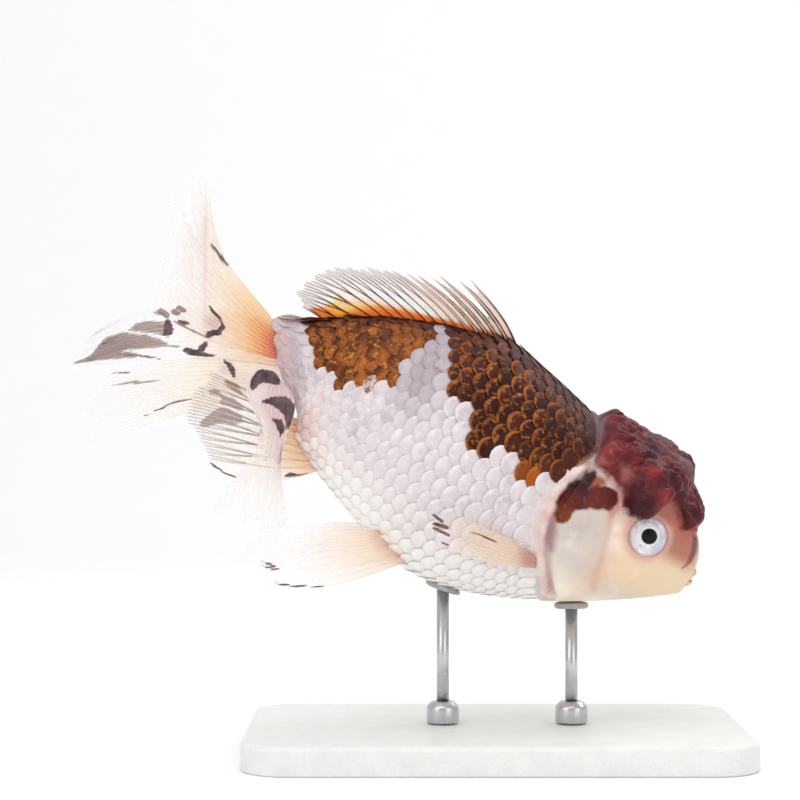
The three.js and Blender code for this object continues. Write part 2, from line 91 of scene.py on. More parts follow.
class Finish:
    """A material while it is being built. A quoted name stands for the number that a mesh stores under it."""

    def __init__(self, name):
        self.material = bpy.data.materials.new(name)
        self.material.use_nodes = True
        self.tree = self.material.node_tree
        self.shader = self.tree.nodes["Principled BSDF"]
        self.place = self.tree.nodes.new("ShaderNodeTexCoord").outputs["Object"]

    def stored(self, name):
        """The number that the mesh stores under a name, as a node's output."""
        node = self.tree.nodes.new("ShaderNodeAttribute")
        node.attribute_name = name
        return node.outputs["Fac"]

    def feed(self, socket, value):
        """Give a socket a node's output, a stored number by its name, or a plain number or colour."""
        if isinstance(value, str):
            value = self.stored(value)
        if isinstance(value, bpy.types.NodeSocket):
            self.tree.links.new(value, socket)
        else:
            socket.default_value = value

    def set(self, **values):
        """Feed the surface shader's sockets, named in lower case with underscores."""
        for name, value in values.items():
            socket = SHORT_NAMES.get(name, name.replace("_", " ").title())
            self.feed(self.shader.inputs[socket], value)

    def noise(self, scale, detail):
        """Soft noise of about 1/scale metres, from -0.5 to 0.5."""
        node = self.tree.nodes.new("ShaderNodeTexNoise")
        node.inputs["Scale"].default_value = scale
        node.inputs["Detail"].default_value = detail
        self.feed(node.inputs["Vector"], self.place)
        return self.maths("SUBTRACT", node.outputs["Fac"], 0.5)

    def cells(self, scale):
        """Distance to the nearest of many scattered points, in cells."""
        node = self.tree.nodes.new("ShaderNodeTexVoronoi")
        node.inputs["Scale"].default_value = scale
        self.feed(node.inputs["Vector"], self.place)
        return node.outputs["Distance"]

    def maths(self, operation, first, second=0):
        node = self.tree.nodes.new("ShaderNodeMath")
        node.operation = operation
        self.feed(node.inputs[0], first)
        self.feed(node.inputs[1], second)
        return node.outputs[0]

    def times(self, first, second):
        return self.maths("MULTIPLY", first, second)

    def sum(self, first, second, share=1):
        """first + share * second."""
        return self.maths("ADD", first, self.times(second, share))

    def fade(self, value, low, high, bottom=0, top=1):
        """bottom below low, top above high, and a smooth step between."""
        node = self.tree.nodes.new("ShaderNodeMapRange")
        node.interpolation_type = "SMOOTHSTEP"
        numbers = {"Value": value, "From Min": low, "From Max": high, "To Min": bottom, "To Max": top}
        for socket, number in numbers.items():
            self.feed(node.inputs[socket], number)
        return node.outputs["Result"]

    def blend(self, share, first, second):
        """first where share is 0, second where it is 1. A colour is paint chart values or a node's output."""
        node = self.tree.nodes.new("ShaderNodeMix")
        node.data_type = "RGBA"
        self.feed(node.inputs[0], share)
        for socket, colour in ((node.inputs[6], first), (node.inputs[7], second)):
            self.feed(socket, paint(*colour) if isinstance(colour, tuple) else colour)
        return node.outputs[2]

    def layers(self, base, *coats):
        """Lay coats over a base, each given as (share, colour) or (share, strength, colour)."""
        for share, *strength, colour in coats:
            base = self.blend(self.times(share, strength[0]) if strength else share, base, colour)
        return base

    def bump(self, height, strength, distance):
        node = self.tree.nodes.new("ShaderNodeBump")
        node.inputs["Strength"].default_value = strength
        node.inputs["Distance"].default_value = distance
        self.feed(node.inputs["Height"], height)
        self.feed(self.shader.inputs["Normal"], node.outputs["Normal"])


print("sample colour:", paint(240, 220, 180))

# %% [markdown]
# The studio is a pale floor that curves up into a pale backdrop, with four soft lights. A photographer would
# call it a sweep. The bend hides the horizon, so the pale fish isn't cut by a line behind it.
# The sweep is one bent sheet, made from a list of profile points and pushed out sideways. Light has to pass
# many layers of clear fin film, so the scene allows more see-through steps than usual.

# %% Studio
SWEEP_FRONT, SWEEP_HALF_WIDTH = 0.9, 1.6
MIDDLE = (0, 0, 0.07)


def sweep_profile(depth, bend, height, steps=14):
    """Points (y, z) of a floor that runs back by depth, bends up and rises to height."""
    points = [(-SWEEP_FRONT, 0), (depth, 0)]
    for i in range(1, steps + 1):
        turn = radians(90) * i / steps
        points.append((depth + bend * sin(turn), bend * (1 - cos(turn))))
    points.append((depth + bend, height))
    return points


def area_light(name, place, aim, size, power):
    """A square soft light at place that points at aim."""
    data = bpy.data.lights.new(name, "AREA")
    data.size = size
    data.energy = power
    light = bpy.data.objects.new(name, data)
    light.location = place
    direction = Vector(aim) - Vector(place)
    light.rotation_euler = direction.to_track_quat("-Z", "Y").to_euler()
    bpy.context.scene.collection.objects.link(light)


profile = sweep_profile(depth=0.55, bend=0.35, height=1.6)
corners = [(x, y, z) for y, z in profile for x in (-SWEEP_HALF_WIDTH, SWEEP_HALF_WIDTH)]
strips = [(2 * i, 2 * i + 1, 2 * i + 3, 2 * i + 2) for i in range(len(profile) - 1)]
sweep_mesh = bpy.data.meshes.new("sweep")
sweep_mesh.from_pydata(corners, [], strips)
sweep_mesh.polygons.foreach_set("use_smooth", [True] * len(strips))
sweep = bpy.data.objects.new("sweep", sweep_mesh)
bpy.context.scene.collection.objects.link(sweep)

paper = Finish("pale_paper")
grain = paper.noise(60, 4)
paper.set(base_color=paper.blend(paper.fade(grain, -0.3, 0.3), (247, 247, 247), (248, 248, 248)))
paper.set(roughness=paper.fade(grain, -0.5, 0.5, 0.85, 0.95))
paper.bump(grain, 0.02, 0.05 * MM)
sweep.data.materials.append(paper.material)

area_light("light_above", (-0.15, -0.25, 0.95), MIDDLE, 0.9, 4)
area_light("light_front_left", (-0.75, -0.75, 0.45), MIDDLE, 0.7, 2.4)
area_light("light_front_right", (0.7, -0.8, 0.3), MIDDLE, 0.6, 1.4)
area_light("light_behind", (0.5, 0.35, 0.75), MIDDLE, 0.5, 2.2)

world = bpy.data.worlds.new("studio_air")
world.use_nodes = True
world.node_tree.nodes["Background"].inputs["Color"].default_value = (1, 1, 1, 1)
world.node_tree.nodes["Background"].inputs["Strength"].default_value = 0.6
bpy.context.scene.world = world
bpy.context.scene.view_settings.view_transform = "Standard"
bpy.context.scene.cycles.transparent_max_bounces = 32
print("sweep", len(strips), "strips, 4 soft lights")

# %% [markdown]
# The fish is easiest to shape in its own directions: along the body from the tail root to the mouth,
# sideways, and up towards its back, all in millimetres. Only the last step tips it nose-down over the stand,
# as the solids of the frame are. Smooth curves through a few stations describe everything, as a loft does in
# CAD.

# %% The fish's own frame and curves
NOSE_DOWN = radians(28.5)
TAIL_ROOT = (-45.6, 0, 84.5)


def to_world(points):
    """Points (along, out, up) of the fish in millimetres, as world points in metres."""
    along, out, up = np.moveaxis(np.asarray(points, float), -1, 0)
    x = TAIL_ROOT[0] + along * cos(NOSE_DOWN) + up * sin(NOSE_DOWN)
    z = TAIL_ROOT[2] - along * sin(NOSE_DOWN) + up * cos(NOSE_DOWN)
    return np.stack([x, out, z], -1) * MM


def smooth(low, high, value):
    """0 below low, 1 above high, and an S-shaped step between."""
    share = np.clip((np.asarray(value, float) - low) / (high - low), 0, 1)
    return share * share * (3 - 2 * share)


def below(low, high, value):
    """1 below low, 0 above high: the same step turned over."""
    return 1 - smooth(low, high, value)


def bell(value, centre, width):
    """1 at the centre, falling off on both sides over about one width."""
    return np.exp(-(((value - centre) / width) ** 2))


def mix(first, second, share):
    return first + (second - first) * share


def curve_at(values, x, places=None):
    """A smooth curve through values at rising places, read at x. Values may be numbers or rows of numbers."""
    values = np.asarray(values, float)
    count = len(values)
    places = np.linspace(0, 1, count) if places is None else np.asarray(places, float)
    x = np.clip(np.asarray(x, float), places[0], places[-1])
    gaps = np.diff(places)
    column = (-1,) + (1,) * (values.ndim - 1)
    slopes = np.diff(values, axis=0) / gaps.reshape(column)
    tangents = np.empty_like(values)
    tangents[0], tangents[-1] = slopes[0], slopes[-1]
    before, after = gaps[:-1].reshape(column), gaps[1:].reshape(column)
    tangents[1:-1] = (slopes[:-1] * after + slopes[1:] * before) / (before + after)
    i = np.clip(np.searchsorted(places, x, side="right") - 1, 0, count - 2)
    spread = x.shape + (1,) * (values.ndim - 1)
    width = gaps[i].reshape(spread)
    f = ((x - places[i]) / gaps[i]).reshape(spread)
    start, end = values[i], values[i + 1]
    return ((2 * f**3 - 3 * f**2 + 1) * start + (f**3 - 2 * f**2 + f) * width * tangents[i]
            + (3 * f**2 - 2 * f**3) * end + (f**3 - f**2) * width * tangents[i + 1])


print("the tail root hangs at", to_world([0, 0, 0]), "metres")

# %% [markdown]
# The body is a loft: each station has a level of the back, a level of the belly and a half width, and the
# section between them is a rounded egg, a little keeled along the back. An oranda is nearly as deep as it is
# long, with a high shoulder and a round belly. The angle round a section starts at the back, at 0 degrees,
# and grows towards the left side. Nearly the same table shapes the solids, so the skin fits them.

# %% Body form
BODY = [
    [-1.2, 4.2, -2.4, 1.6], [0, 6, -4.4, 3], [7, 9.9, -11.2, 5.6], [14, 15.8, -16.2, 9.4],
    [24, 20.2, -21, 14.4], [34, 23.2, -24.8, 18.6], [44, 25, -27.4, 21], [54, 23, -27, 21.4],
    [65, 20.2, -23.8, 20.2], [75, 17.6, -19.2, 18.2], [84, 14.8, -14.2, 15.2], [91, 11.4, -9.8, 11.6],
    [96, 7.8, -6.4, 7.6], [98.4, 3.6, -4.4, 4.6], [99.2, -0.2, -2.4, 1.8],
]
TAIL_RAKE_SLOPE = 0.55
TAIL_RAKE_LENGTH = 16
WIDEST_LEVEL = 0.46
STATION_STEPS = np.linspace(0, 1, 2000)
STATION_PLACES = curve_at(BODY, STATION_STEPS)[:, 0]


def station_at(place):
    """The loft parameter, from 0 to 1, at a place along the body in millimetres."""
    return np.interp(place, STATION_PLACES, STATION_STEPS)


def body_point(place, angle, grow=0):
    """A point of the body's surface, grow millimetres larger than the plain body."""
    along, back, belly, half_width = np.moveaxis(curve_at(BODY, station_at(place)), -1, 0)
    level = mix(belly, back, WIDEST_LEVEL)
    sine, cosine = np.sin(np.radians(angle)), np.cos(np.radians(angle))
    side_power = np.where(cosine > 0, 1.12, 0.92)
    level_power = np.where(cosine > 0, 1, 0.94)
    height = np.where(cosine > 0, back - level, level - belly) + grow
    up = level + height * np.sign(cosine) * np.abs(cosine) ** level_power
    rake = TAIL_RAKE_SLOPE * (1 - smooth(0, TAIL_RAKE_LENGTH, along))
    out = (half_width + grow) * np.sign(sine) * np.abs(sine) ** side_power
    return np.stack([along - rake * up, out, up], -1)


def body_frame(place, angle, step=0.25):
    """The surface point with its outward normal and the direction along the body towards the mouth."""
    ahead = body_point(place + step, angle) - body_point(place - step, angle)
    around = body_point(place, angle + step) - body_point(place, angle - step)
    outward = np.cross(ahead, around)
    outward /= np.linalg.norm(outward, axis=-1, keepdims=True)
    ahead /= np.linalg.norm(ahead, axis=-1, keepdims=True)
    return body_point(place, angle), outward, ahead


print("deepest at", body_point(44, 0), "to", body_point(44, 180))

# %% [markdown]
# A gill cover is a bony plate on the cheek, hinged in front and free behind. From outside it reads as a low
# shield with a rounded rear edge that stands proud of a narrow slit. It could be a separate plate, but on a
# live fish the skin runs over it without a seam, so here it is a raised area of the one skin.
# Scales start behind that edge, so one curve round the section also says where the scaled coat ends.

# %% Gill covers and the front edge of the coat
GILL_ANGLES = [50, 58, 80, 102, 124, 146, 154]
GILL_REAR = [70.5, 68.6, 66.3, 67.7, 71.4, 74.6, 76]
GILL_FRONT = [76, 76, 77, 78.6, 79.6, 80, 80]
COAT_EDGE_ANGLES = [0, 30, 50, 58, 80, 102, 124, 146, 160, 180]
COAT_EDGE = [66.5, 69.2, 70, 68.8, 65.6, 66.9, 71.2, 74.6, 75.4, 75.6]


def gill_rear(angle):
    return curve_at(GILL_REAR, np.abs(angle), GILL_ANGLES)


def gill_front(angle):
    return curve_at(GILL_FRONT, np.abs(angle), GILL_ANGLES)


def coat_edge(angle):
    """The place along the body where the scales end and the bare head begins."""
    return curve_at(COAT_EDGE, np.abs(angle), COAT_EDGE_ANGLES)


def gill_window(angle):
    """1 on the part of the section that the gill cover spans, 0 above and below it."""
    turn = np.abs(angle)
    return smooth(51, 60, turn) * below(142, 154, turn)


def gill_relief(place, angle):
    """How far the cheek plate and its slit stand off the plain body."""
    rear, front = gill_rear(angle), gill_front(angle)
    window = gill_window(angle)
    edge = np.sqrt(np.clip((place - rear) / 0.7, 0, 1))
    fall = below(front - 6, front + 1, place)
    plate = 1.25 * edge * mix(0.35, 1, fall) * below(front + 1, front + 12, place)
    slit = 0.45 * bell(place, rear - 0.45, 0.5)
    flap = 0.25 * bell(place, rear - 1.6, 0.7)
    hinge = 0.22 * bell(place, front, 0.8)
    return window * (plate - slit + flap - hinge)


print("gill cover reaches", float(gill_rear(80)), "to", float(gill_front(80)), "mm along the body")

# %% [markdown]
# The hood is the oranda's mark: a raspberry-like growth over the top of the head. Close up it is a mass of
# rounded warts, fine on the crown and larger towards the cheeks, each with a groove round it.
# Sculpting them would take hours. Instead, seed points are scattered so that neighbours keep their distance.
# For each spot of skin, the distance to the nearest seed is divided by that to the second nearest. The
# ratio is 0 on top of a wart and 1 in the groove between two, which gives the domes.

# %% Hood warts
HOOD_PLACES = [65.8, 67, 70, 74.5, 79, 82, 85, 88.3, 91, 92.4, 93.4, 94.6]
HOOD_THICKNESS = [1.5, 2.7, 3.8, 4.8, 6.3, 7, 6.7, 4.3, 3.5, 3.4, 2.9, 1.5]
HOOD_REACH = [44, 48, 55, 59, 71, 72, 49, 39, 54, 46, 30, 18]
HOOD_EDGE_ROUND = 1.8
WART_SEED = 11


def hood_reach(place):
    """Degrees from the top of the head down to the hood's rim, on both sides."""
    return curve_at(HOOD_REACH, place, HOOD_PLACES) + 2.0 * np.sin(place * 1.3)


def hood_depth(place, angle):
    """Millimetres inside the hood's rim; negative outside it."""
    around = (hood_reach(place) - np.abs(angle)) * 0.27
    behind = place - HOOD_PLACES[0] - 2.2 * smooth(8, 40, np.abs(angle))
    return np.minimum(np.minimum(around, behind), HOOD_PLACES[-1] + 0.4 - place)


def hood_swell(place, angle):
    """The hood's thickness before its warts, rounded off at the rim."""
    turn = np.abs(angle) / hood_reach(place)
    inside = np.clip(hood_depth(place, angle) / HOOD_EDGE_ROUND, 0, 1)
    full = curve_at(HOOD_THICKNESS, place, HOOD_PLACES) * (1 - 0.35 * np.clip(turn, 0, 1) ** 2)
    return full * np.sqrt(1 - (1 - inside) ** 2)


def scatter_seeds(random, spacing_at, tries):
    """Seeds on the hood as (place, angle, radius), none nearer to another than their radii allow."""
    kept = []
    points = np.empty((0, 3))
    for _ in range(tries):
        place, angle = random.uniform(65, 96), random.uniform(-80, 80)
        if hood_depth(place, angle) < 0:
            continue
        radius = spacing_at(place, angle)
        point = body_point(place, angle, 4)
        if len(kept) and np.min(np.linalg.norm(points - point, axis=1) / radius) < 1:
            continue
        kept.append((place, angle, radius))
        points = np.vstack([points, point])
    return np.array(kept), points


def fine_spacing(place, angle):
    """Warts are finest on the crown and coarser towards the cheeks and the snout."""
    low = float(smooth(24, 62, abs(angle)))
    return mix(1.45, 2.5, low) + 0.4 * float(smooth(84, 93, place))


def nearest_two(points, seeds, reach):
    """For each point: the seed it belongs to, and the nearest and second nearest distance in seed radii."""
    best = np.full(len(points), 1e9)
    second = np.full(len(points), 1e9)
    owner = np.zeros(len(points), int)
    for i, (seed, radius) in enumerate(zip(seeds, reach)):
        far = np.linalg.norm(points - seed, axis=1) / radius
        closer = far < best
        second = np.where(closer, best, np.minimum(second, far))
        owner = np.where(closer, i, owner)
        best = np.where(closer, far, best)
    return owner, best, second


wart_random = np.random.default_rng(WART_SEED)
warts, wart_points = scatter_seeds(wart_random, fine_spacing, 14000)
lobes, lobe_points = scatter_seeds(wart_random, lambda place, angle: 5.6, 900)
wart_tones = wart_random.uniform(0, 1, len(warts))
lobe_tones = wart_random.uniform(0, 1, len(lobes))
print(len(warts), "warts on", len(lobes), "larger lobes")

# %% [markdown]
# The eye sits in a shallow socket with a soft fleshy rim. The skin near it is drawn in under the eyeball, so
# that the ball meets flesh all round and no gap shows, and it swells into a low ring just outside the ball.
# In front of the eye a goldfish has a nostril with a small upright flap on each side of the snout.

# %% Eye sockets and nostrils
EYE_CENTRE = (84.95, 11.9, 2.55)
EYE_RADIUS = 4.7
EYE_SHOWN = 4.0
NOSTRIL_PLACE, NOSTRIL_ANGLE = 94.1, 33.0


def eye_distance(points):
    """Millimetres from the line through both eyes."""
    return np.hypot(points[..., 0] - EYE_CENTRE[0], points[..., 2] - EYE_CENTRE[2])


def settle_round_eyes(points, side_reach=6):
    """Draw the skin in under each eyeball and raise a soft rim round it."""
    far = eye_distance(points)
    side = np.sign(points[..., 1])
    at_eye = (np.abs(points[..., 1]) > side_reach) & (far < 9)
    ball = EYE_CENTRE[1] + np.sqrt(np.clip(EYE_RADIUS**2 - far**2, 0, None))
    under = ball - 0.35 - 0.9 * below(0, EYE_SHOWN, far)
    rim_top = EYE_CENTRE[1] + np.sqrt(EYE_RADIUS**2 - EYE_SHOWN**2) + 0.15
    out = np.abs(points[..., 1])
    rim = mix(out, np.maximum(out, rim_top - 0.35 * np.abs(far - 4.5)), bell(far, 4.5, 1.1))
    drawn = mix(under, rim, smooth(EYE_SHOWN - 0.35, EYE_SHOWN + 0.15, far))
    settled = points.copy()
    settled[..., 1] = np.where(at_eye, side * mix(drawn, out, smooth(5.2, 7.5, far)), points[..., 1])
    return settled


def nostril_relief(place, angle):
    """A flap and the pit in front of it, on both sides of the snout."""
    around = (np.abs(angle) - NOSTRIL_ANGLE) * 0.16
    flap = 1.25 * bell(place, NOSTRIL_PLACE, 0.55) * bell(around, 0, 1)
    pit = 0.6 * bell(place, NOSTRIL_PLACE + 1.1, 0.5) * bell(around, 0, 0.7)
    return flap - pit


print("an eye shows", 2 * EYE_SHOWN, "mm across")

# %% [markdown]
# The mouth is small, with thick lips that push forward. The loft's last rings make it: they swell outwards,
# roll over the front as a round tube would, turn back inside and close in a small dark pocket. Working with
# rings keeps the lips part of the same skin, with no join to hide.

# %% Lips as the loft's last rings
LIPS_CENTRE = (98.5, -0.5)
LIPS_HALF_WIDTH, LIPS_HALF_HEIGHT = 2.7, 1.25
LIP_ROUND = 1.0
LIPS_TILT = radians(-4)
LIP_RINGS = 16


def lip_rings(angles):
    """Closed rings from the outer foot of the lips, over their front, into the mouth."""
    rings = []
    for roll in np.linspace(radians(-70), radians(235), LIP_RINGS):
        reach = LIP_ROUND * cos(roll)
        forward = LIP_ROUND * sin(roll)
        part = 0.25 * np.abs(np.sin(np.radians(angles))) ** 6
        out = (LIPS_HALF_WIDTH + reach) * np.sin(np.radians(angles))
        up = (LIPS_HALF_HEIGHT + reach) * np.cos(np.radians(angles))
        along = forward - part * 2.2 + up * sin(LIPS_TILT)
        rings.append(np.stack([LIPS_CENTRE[0] + along, out, LIPS_CENTRE[1] + up * cos(LIPS_TILT)], -1))
    return rings


print(LIP_RINGS, "rings shape the lips")

# %% [markdown]
# Now the skin itself: one closed tube of rings from the tail root to the mouth. Rings lie a quarter of a
# millimetre apart on the head, where warts and cheeks need them, and a millimetre and more apart under the
# scales, which hide it. Round the section, more points gather on the crown than under the throat.
# Under the coat the skin lies deeper by the coat's own depth, and rises to full size on the bare head.

# %% Skin rings
SKIN_COLUMNS = 420
COAT_DEPTH = 0.5
CROWN_CROWDING = 0.42
BROW_LOBE = (79.2, 8.6, 3.4)
COLLAR_WIDTH = 2.2

turns = np.linspace(-1, 1, SKIN_COLUMNS, endpoint=False)
skin_angles = 180 * (turns - CROWN_CROWDING * np.sin(pi * turns) / pi)
skin_places = np.concatenate([
    np.linspace(-1.1, 10, 12, endpoint=False),
    np.linspace(10, 63, 34, endpoint=False),
    np.linspace(63, 66, 8, endpoint=False),
    np.linspace(66, 98.2, 134),
])
place_grid, angle_grid = np.meshgrid(skin_places, skin_angles, indexing="ij")


def warts_at(points, depth):
    """Dome height of small warts and large lobes, with the grooves, tones and creases between them."""
    flat = points.reshape(-1, 3)
    flat = flat + 0.42 * np.sin(flat[:, [1, 2, 0]] * 1.9 + [0.3, 1.7, 4])
    flat = flat + 0.16 * np.sin(flat[:, [2, 0, 1]] * 4.7 + [2.1, 0.4, 1.2])
    inside = depth.reshape(-1) > -0.5
    height, groove, tone, lobe_tone, crease = (np.zeros(len(flat)) for _ in range(5))
    owner, near, next_near = nearest_two(flat[inside], wart_points, warts[:, 2])
    lobe_owner, lobe_near, lobe_next = nearest_two(flat[inside], lobe_points, lobes[:, 2])
    dome = 1 - (near / next_near) ** 2.2
    swell = 1 - (lobe_near / lobe_next) ** 2
    low_on_side = smooth(1.6, 2.4, warts[owner, 2])
    uneven = mix(0.6, 1.35, wart_tones[owner])
    wart_size = mix(0.24, 0.09, low_on_side) * uneven * warts[owner, 2]
    height[inside] = wart_size * dome ** 1.3 + 1.15 * swell ** 1.3
    groove[inside] = np.clip(1 - 2.6 * dome, 0, 1)
    tone[inside] = wart_tones[owner]
    lobe_tone[inside] = lobe_tones[lobe_owner]
    crease[inside] = np.clip(1 - 3.2 * swell, 0, 1)
    shape = depth.shape
    return tuple(values.reshape(shape) for values in (height, groove, tone, lobe_tone, crease))


hood_inside = hood_depth(place_grid, angle_grid)
hood_values = warts_at(body_point(place_grid, angle_grid, 4), hood_inside)
wart_height, wart_groove, wart_tone, lobe_tone, lobe_crease = hood_values
coat_share = below(-0.9, 0.3, place_grid - coat_edge(angle_grid) + COLLAR_WIDTH)
rim_share = smooth(0, 1.4, hood_inside)
relief = (
    -COAT_DEPTH * coat_share * (1 + 1.7 * bell(place_grid, 8, 4))
    + gill_relief(place_grid, angle_grid) * below(-0.3, 0.6, hood_inside)
    + hood_swell(place_grid, angle_grid)
    + (wart_height - 0.75) * rim_share
    + nostril_relief(place_grid, angle_grid) * (1 - rim_share)
)
surface, outward, _ = body_frame(place_grid, angle_grid)
brow = np.hypot(surface[..., 0] - BROW_LOBE[0], surface[..., 2] - BROW_LOBE[1]) / BROW_LOBE[2]
relief += 1.2 * np.sqrt(np.clip(1 - brow**2, 0, 1)) * rim_share
skin_points = settle_round_eyes(surface + outward * relief[..., None])
print("relief from", round(float(relief.min()), 2), "to", round(float(relief.max()), 2), "mm")

# %% [markdown]
# A small helper turns rings of points into a closed mesh: quads between neighbouring rings and a fan of
# triangles at each end. It also lays the skin out flat, as if it were cut along the belly and unrolled. That
# unrolled sheet is where an exporter can bake colours, and the scales take their place from it too.

# %% Mesh helpers
def closed_tube(rings):
    """Vertices and faces of rings joined in order, with both ends closed by a fan."""
    rings = np.asarray(rings)
    count, columns, _ = rings.shape
    vertices = np.vstack([rings.reshape(-1, 3), rings[0].mean(0), rings[-1].mean(0)])
    first, last = count * columns, count * columns + 1
    row = np.arange(count - 1)[:, None] * columns
    column = np.arange(columns)[None]
    after = (column + 1) % columns
    quads = np.stack([row + column, row + columns + column, row + columns + after, row + after], -1)
    faces = quads.reshape(-1, 4).tolist()
    top = (count - 1) * columns
    faces += [(first, c, (c + 1) % columns) for c in range(columns)]
    faces += [(last, top + (c + 1) % columns, top + c) for c in range(columns)]
    return vertices, faces


def mesh_object(name, vertices, faces, material=None):
    """A smooth-shaded mesh object at the origin, with its vertices in world metres."""
    mesh = bpy.data.meshes.new(name)
    mesh.from_pydata(np.asarray(vertices).tolist(), [], faces)
    mesh.polygons.foreach_set("use_smooth", np.ones(len(mesh.polygons), bool))
    mesh.update()
    made = bpy.data.objects.new(name, mesh)
    bpy.context.scene.collection.objects.link(made)
    if material:
        mesh.materials.append(material)
    return made


def store(made, name, values):
    """Keep one number for each vertex as an attribute that materials can read."""
    attribute = made.data.attributes.new(name, "FLOAT", "POINT")
    attribute.data.foreach_set("value", np.asarray(values, np.float32).reshape(-1))


def lay_flat(made, spots):
    """The map for baked colours: one (x, y) spot, from 0 to 1, for each corner of each face."""
    layer = made.data.uv_layers.new(name="OFBake")
    layer.uv.foreach_set("vector", np.asarray(spots, np.float32).reshape(-1))


def loop_vertices(made):
    indices = np.empty(len(made.data.loops), np.int32)
    made.data.loops.foreach_get("vertex_index", indices)
    return indices


def unrolled_spots(made, rings, columns):
    """A spot on the flat map for each face corner of a closed tube, cut along one line and unrolled."""
    corners = loop_vertices(made)
    ring, column = np.divmod(corners, columns)
    starts = np.array([polygon.loop_start for polygon in made.data.polygons])
    sizes = np.array([polygon.loop_total for polygon in made.data.polygons])
    beside_cut = np.repeat(np.maximum.reduceat(column, starts) == columns - 1, sizes)
    x = np.where(beside_cut & (column == 0), 1, column / columns)
    y = (ring + 1) / (rings + 1)
    fan_x, fan_y = x[-6 * columns:].reshape(-1, 3), y[-6 * columns:].reshape(-1, 3)
    fan_x[:, 0] = fan_x[:, 1]
    fan_y[:columns, 0], fan_y[columns:, 0] = 0, 1.0
    return np.stack([x, y], -1)


skin_rings = np.concatenate([skin_points, np.stack(lip_rings(skin_angles))])
ring_count = len(skin_rings)
skin_vertices, skin_faces = closed_tube(skin_rings)
skin = mesh_object("skin", to_world(skin_vertices), skin_faces)

lay_flat(skin, unrolled_spots(skin, ring_count, SKIN_COLUMNS))
print("skin:", len(skin_vertices), "vertices,", sum(len(face) - 2 for face in skin_faces), "triangles")

# %% [markdown]
# The markings are what make this fish: bronze-brown patches on a silver body, a dark red hood, a cream
# cheek. A painter would mask them and spray. Here each mask is a signed distance in millimetres, positive
# inside the mark, worked out from a few outline points. The skin and the scales read the same function, so
# they always agree, and the shader roughens the borders with noise. The dark back is given by how many
# degrees down each flank it reaches; the two flanks differ, as on real fish.

# %% Marks of the back
RIGHT_REACH = [
    (3.2, -4), (4.6, 36), (6.2, 54), (7.4, 72), (9, 77), (13, 86), (17.5, 85), (20.6, 77), (23.2, 74),
    (24.6, 60), (26, 36), (27.6, 10), (28.6, 14), (30, 38), (31.6, 53), (34, 62), (37, 64), (40, 67),
    (42.2, 78), (45, 84), (48.2, 80), (50, 72), (53.3, 77), (56, 80), (58, 85), (59.8, 76), (62, 67),
    (64.4, 62), (67, 59), (70, 54),
]
LEFT_REACH = [
    (3.2, -4), (5, 30), (8, 58), (12, 74), (17, 80), (22, 70), (26, 52), (30, 34), (33, 22), (36, 40),
    (40, 62), (45, 76), (50, 82), (55, 74), (60, 78), (64, 66), (67, 56), (70, 50),
]
MEAN_RADIUS = ([0, 12, 30, 50, 70, 99], [5.5, 13, 21, 24.5, 20, 9])
DEGREE = 0.0175


def dark_back(place, angle):
    """Millimetres inside the dark back along the section; negative below it."""
    right = np.interp(place, *zip(*RIGHT_REACH))
    left = np.interp(place, *zip(*LEFT_REACH))
    reach = np.where(np.asarray(angle) < 0, right, left)
    return (reach - np.abs(angle)) * (DEGREE * np.interp(place, *MEAN_RADIUS))


print("the right flank's dark back has", len(RIGHT_REACH), "outline points")

# %% [markdown]
# Small marks are drawn as bars: a line of points along the body and up, with the bar's radius at each. The
# cheek has a brown bar and an orange one, a tan spot and a pink strip; the snout has a thin dark stripe.
# Soft spots of light and dark on the hood are the same idea with a single point and a blurred rim.

# %% Marks of the head
def inside_bars(along, up, bars):
    """Millimetres inside the nearest of some bars, each a line of (along, up, radius) points."""
    best = np.full(np.shape(along), -4)
    for bar in bars:
        for (a0, u0, r0), (a1, u1, r1) in zip(bar[:-1], bar[1:]):
            length_squared = (a1 - a0) ** 2 + (u1 - u0) ** 2
            share = np.clip(((along - a0) * (a1 - a0) + (up - u0) * (u1 - u0)) / length_squared, 0, 1)
            far = np.hypot(along - mix(a0, a1, share), up - mix(u0, u1, share))
            best = np.maximum(best, mix(r0, r1, share) - far)
    return best


def inside_spots(along, up, spots):
    """The strongest of some soft round spots of (along, up, width)."""
    return np.max([bell(np.hypot(along - a, up - u), 0, width) for a, u, width in spots], axis=0)


CHEEK_BARS = [
    [(69, 8.7, 0.9), (68.4, 6.2, 1.6), (67.4, 3.6, 2), (66.9, 0.4, 2), (67.5, -1.6, 1.8)],
    [(68.6, 2.2, 1.6), (70.6, 3.8, 2.3), (72.4, 5, 2.8), (73.5, 5.5, 2.6)],
]
LEFT_CHEEK_BARS = [[(70.2, 8, 1.4), (72.8, 5.2, 1.7), (76.4, 4.4, 1.2)]]
TAN_BARS = [[(69.9, 7.2, 1.7), (71.4, 7.9, 1.1)]]
PINK_BARS = [[(72.4, 9.3, 0.8), (75, 8.9, 0.8), (76.5, 7.2, 0.8), (76.4, 4.6, 0.9), (76.2, 3, 0.4)]]
SNOUT_BARS = [
    [(94.7, 7.4, 0.5), (95.7, 6, 0.8), (96.1, 4.4, 0.8), (96.1, 2.6, 0.55), (95.7, 1, 0.3),
     (95.2, 0.2, 0.12)],
    [(98.2, -2.3, 0.35), (98.4, -2.5, 0.35)],
]
# These bars mark painted shade along the lower rear edge of the gill cover.
GILL_FOLD_SHADE_BARS = [[(66.4, -3.6, 0.5), (66.8, -5.2, 1), (67.5, -7.2, 0.9), (68.6, -8.9, 0.4)]]
FOLD_BARS = [[(76.3, 2.9, 0.5), (77.4, -0.1, 0.6), (78.2, -4.5, 0.7), (79.3, -8.8, 0.8), (80.6, -12, 0.6)]]
# The two soft spots behind the eye are a painted highlight, a lighter patch where light falls on the cheek.
CHEEK_HIGHLIGHT_SPOTS = [(79.8, -1.4, 2.2), (78.6, 1, 1.5)]
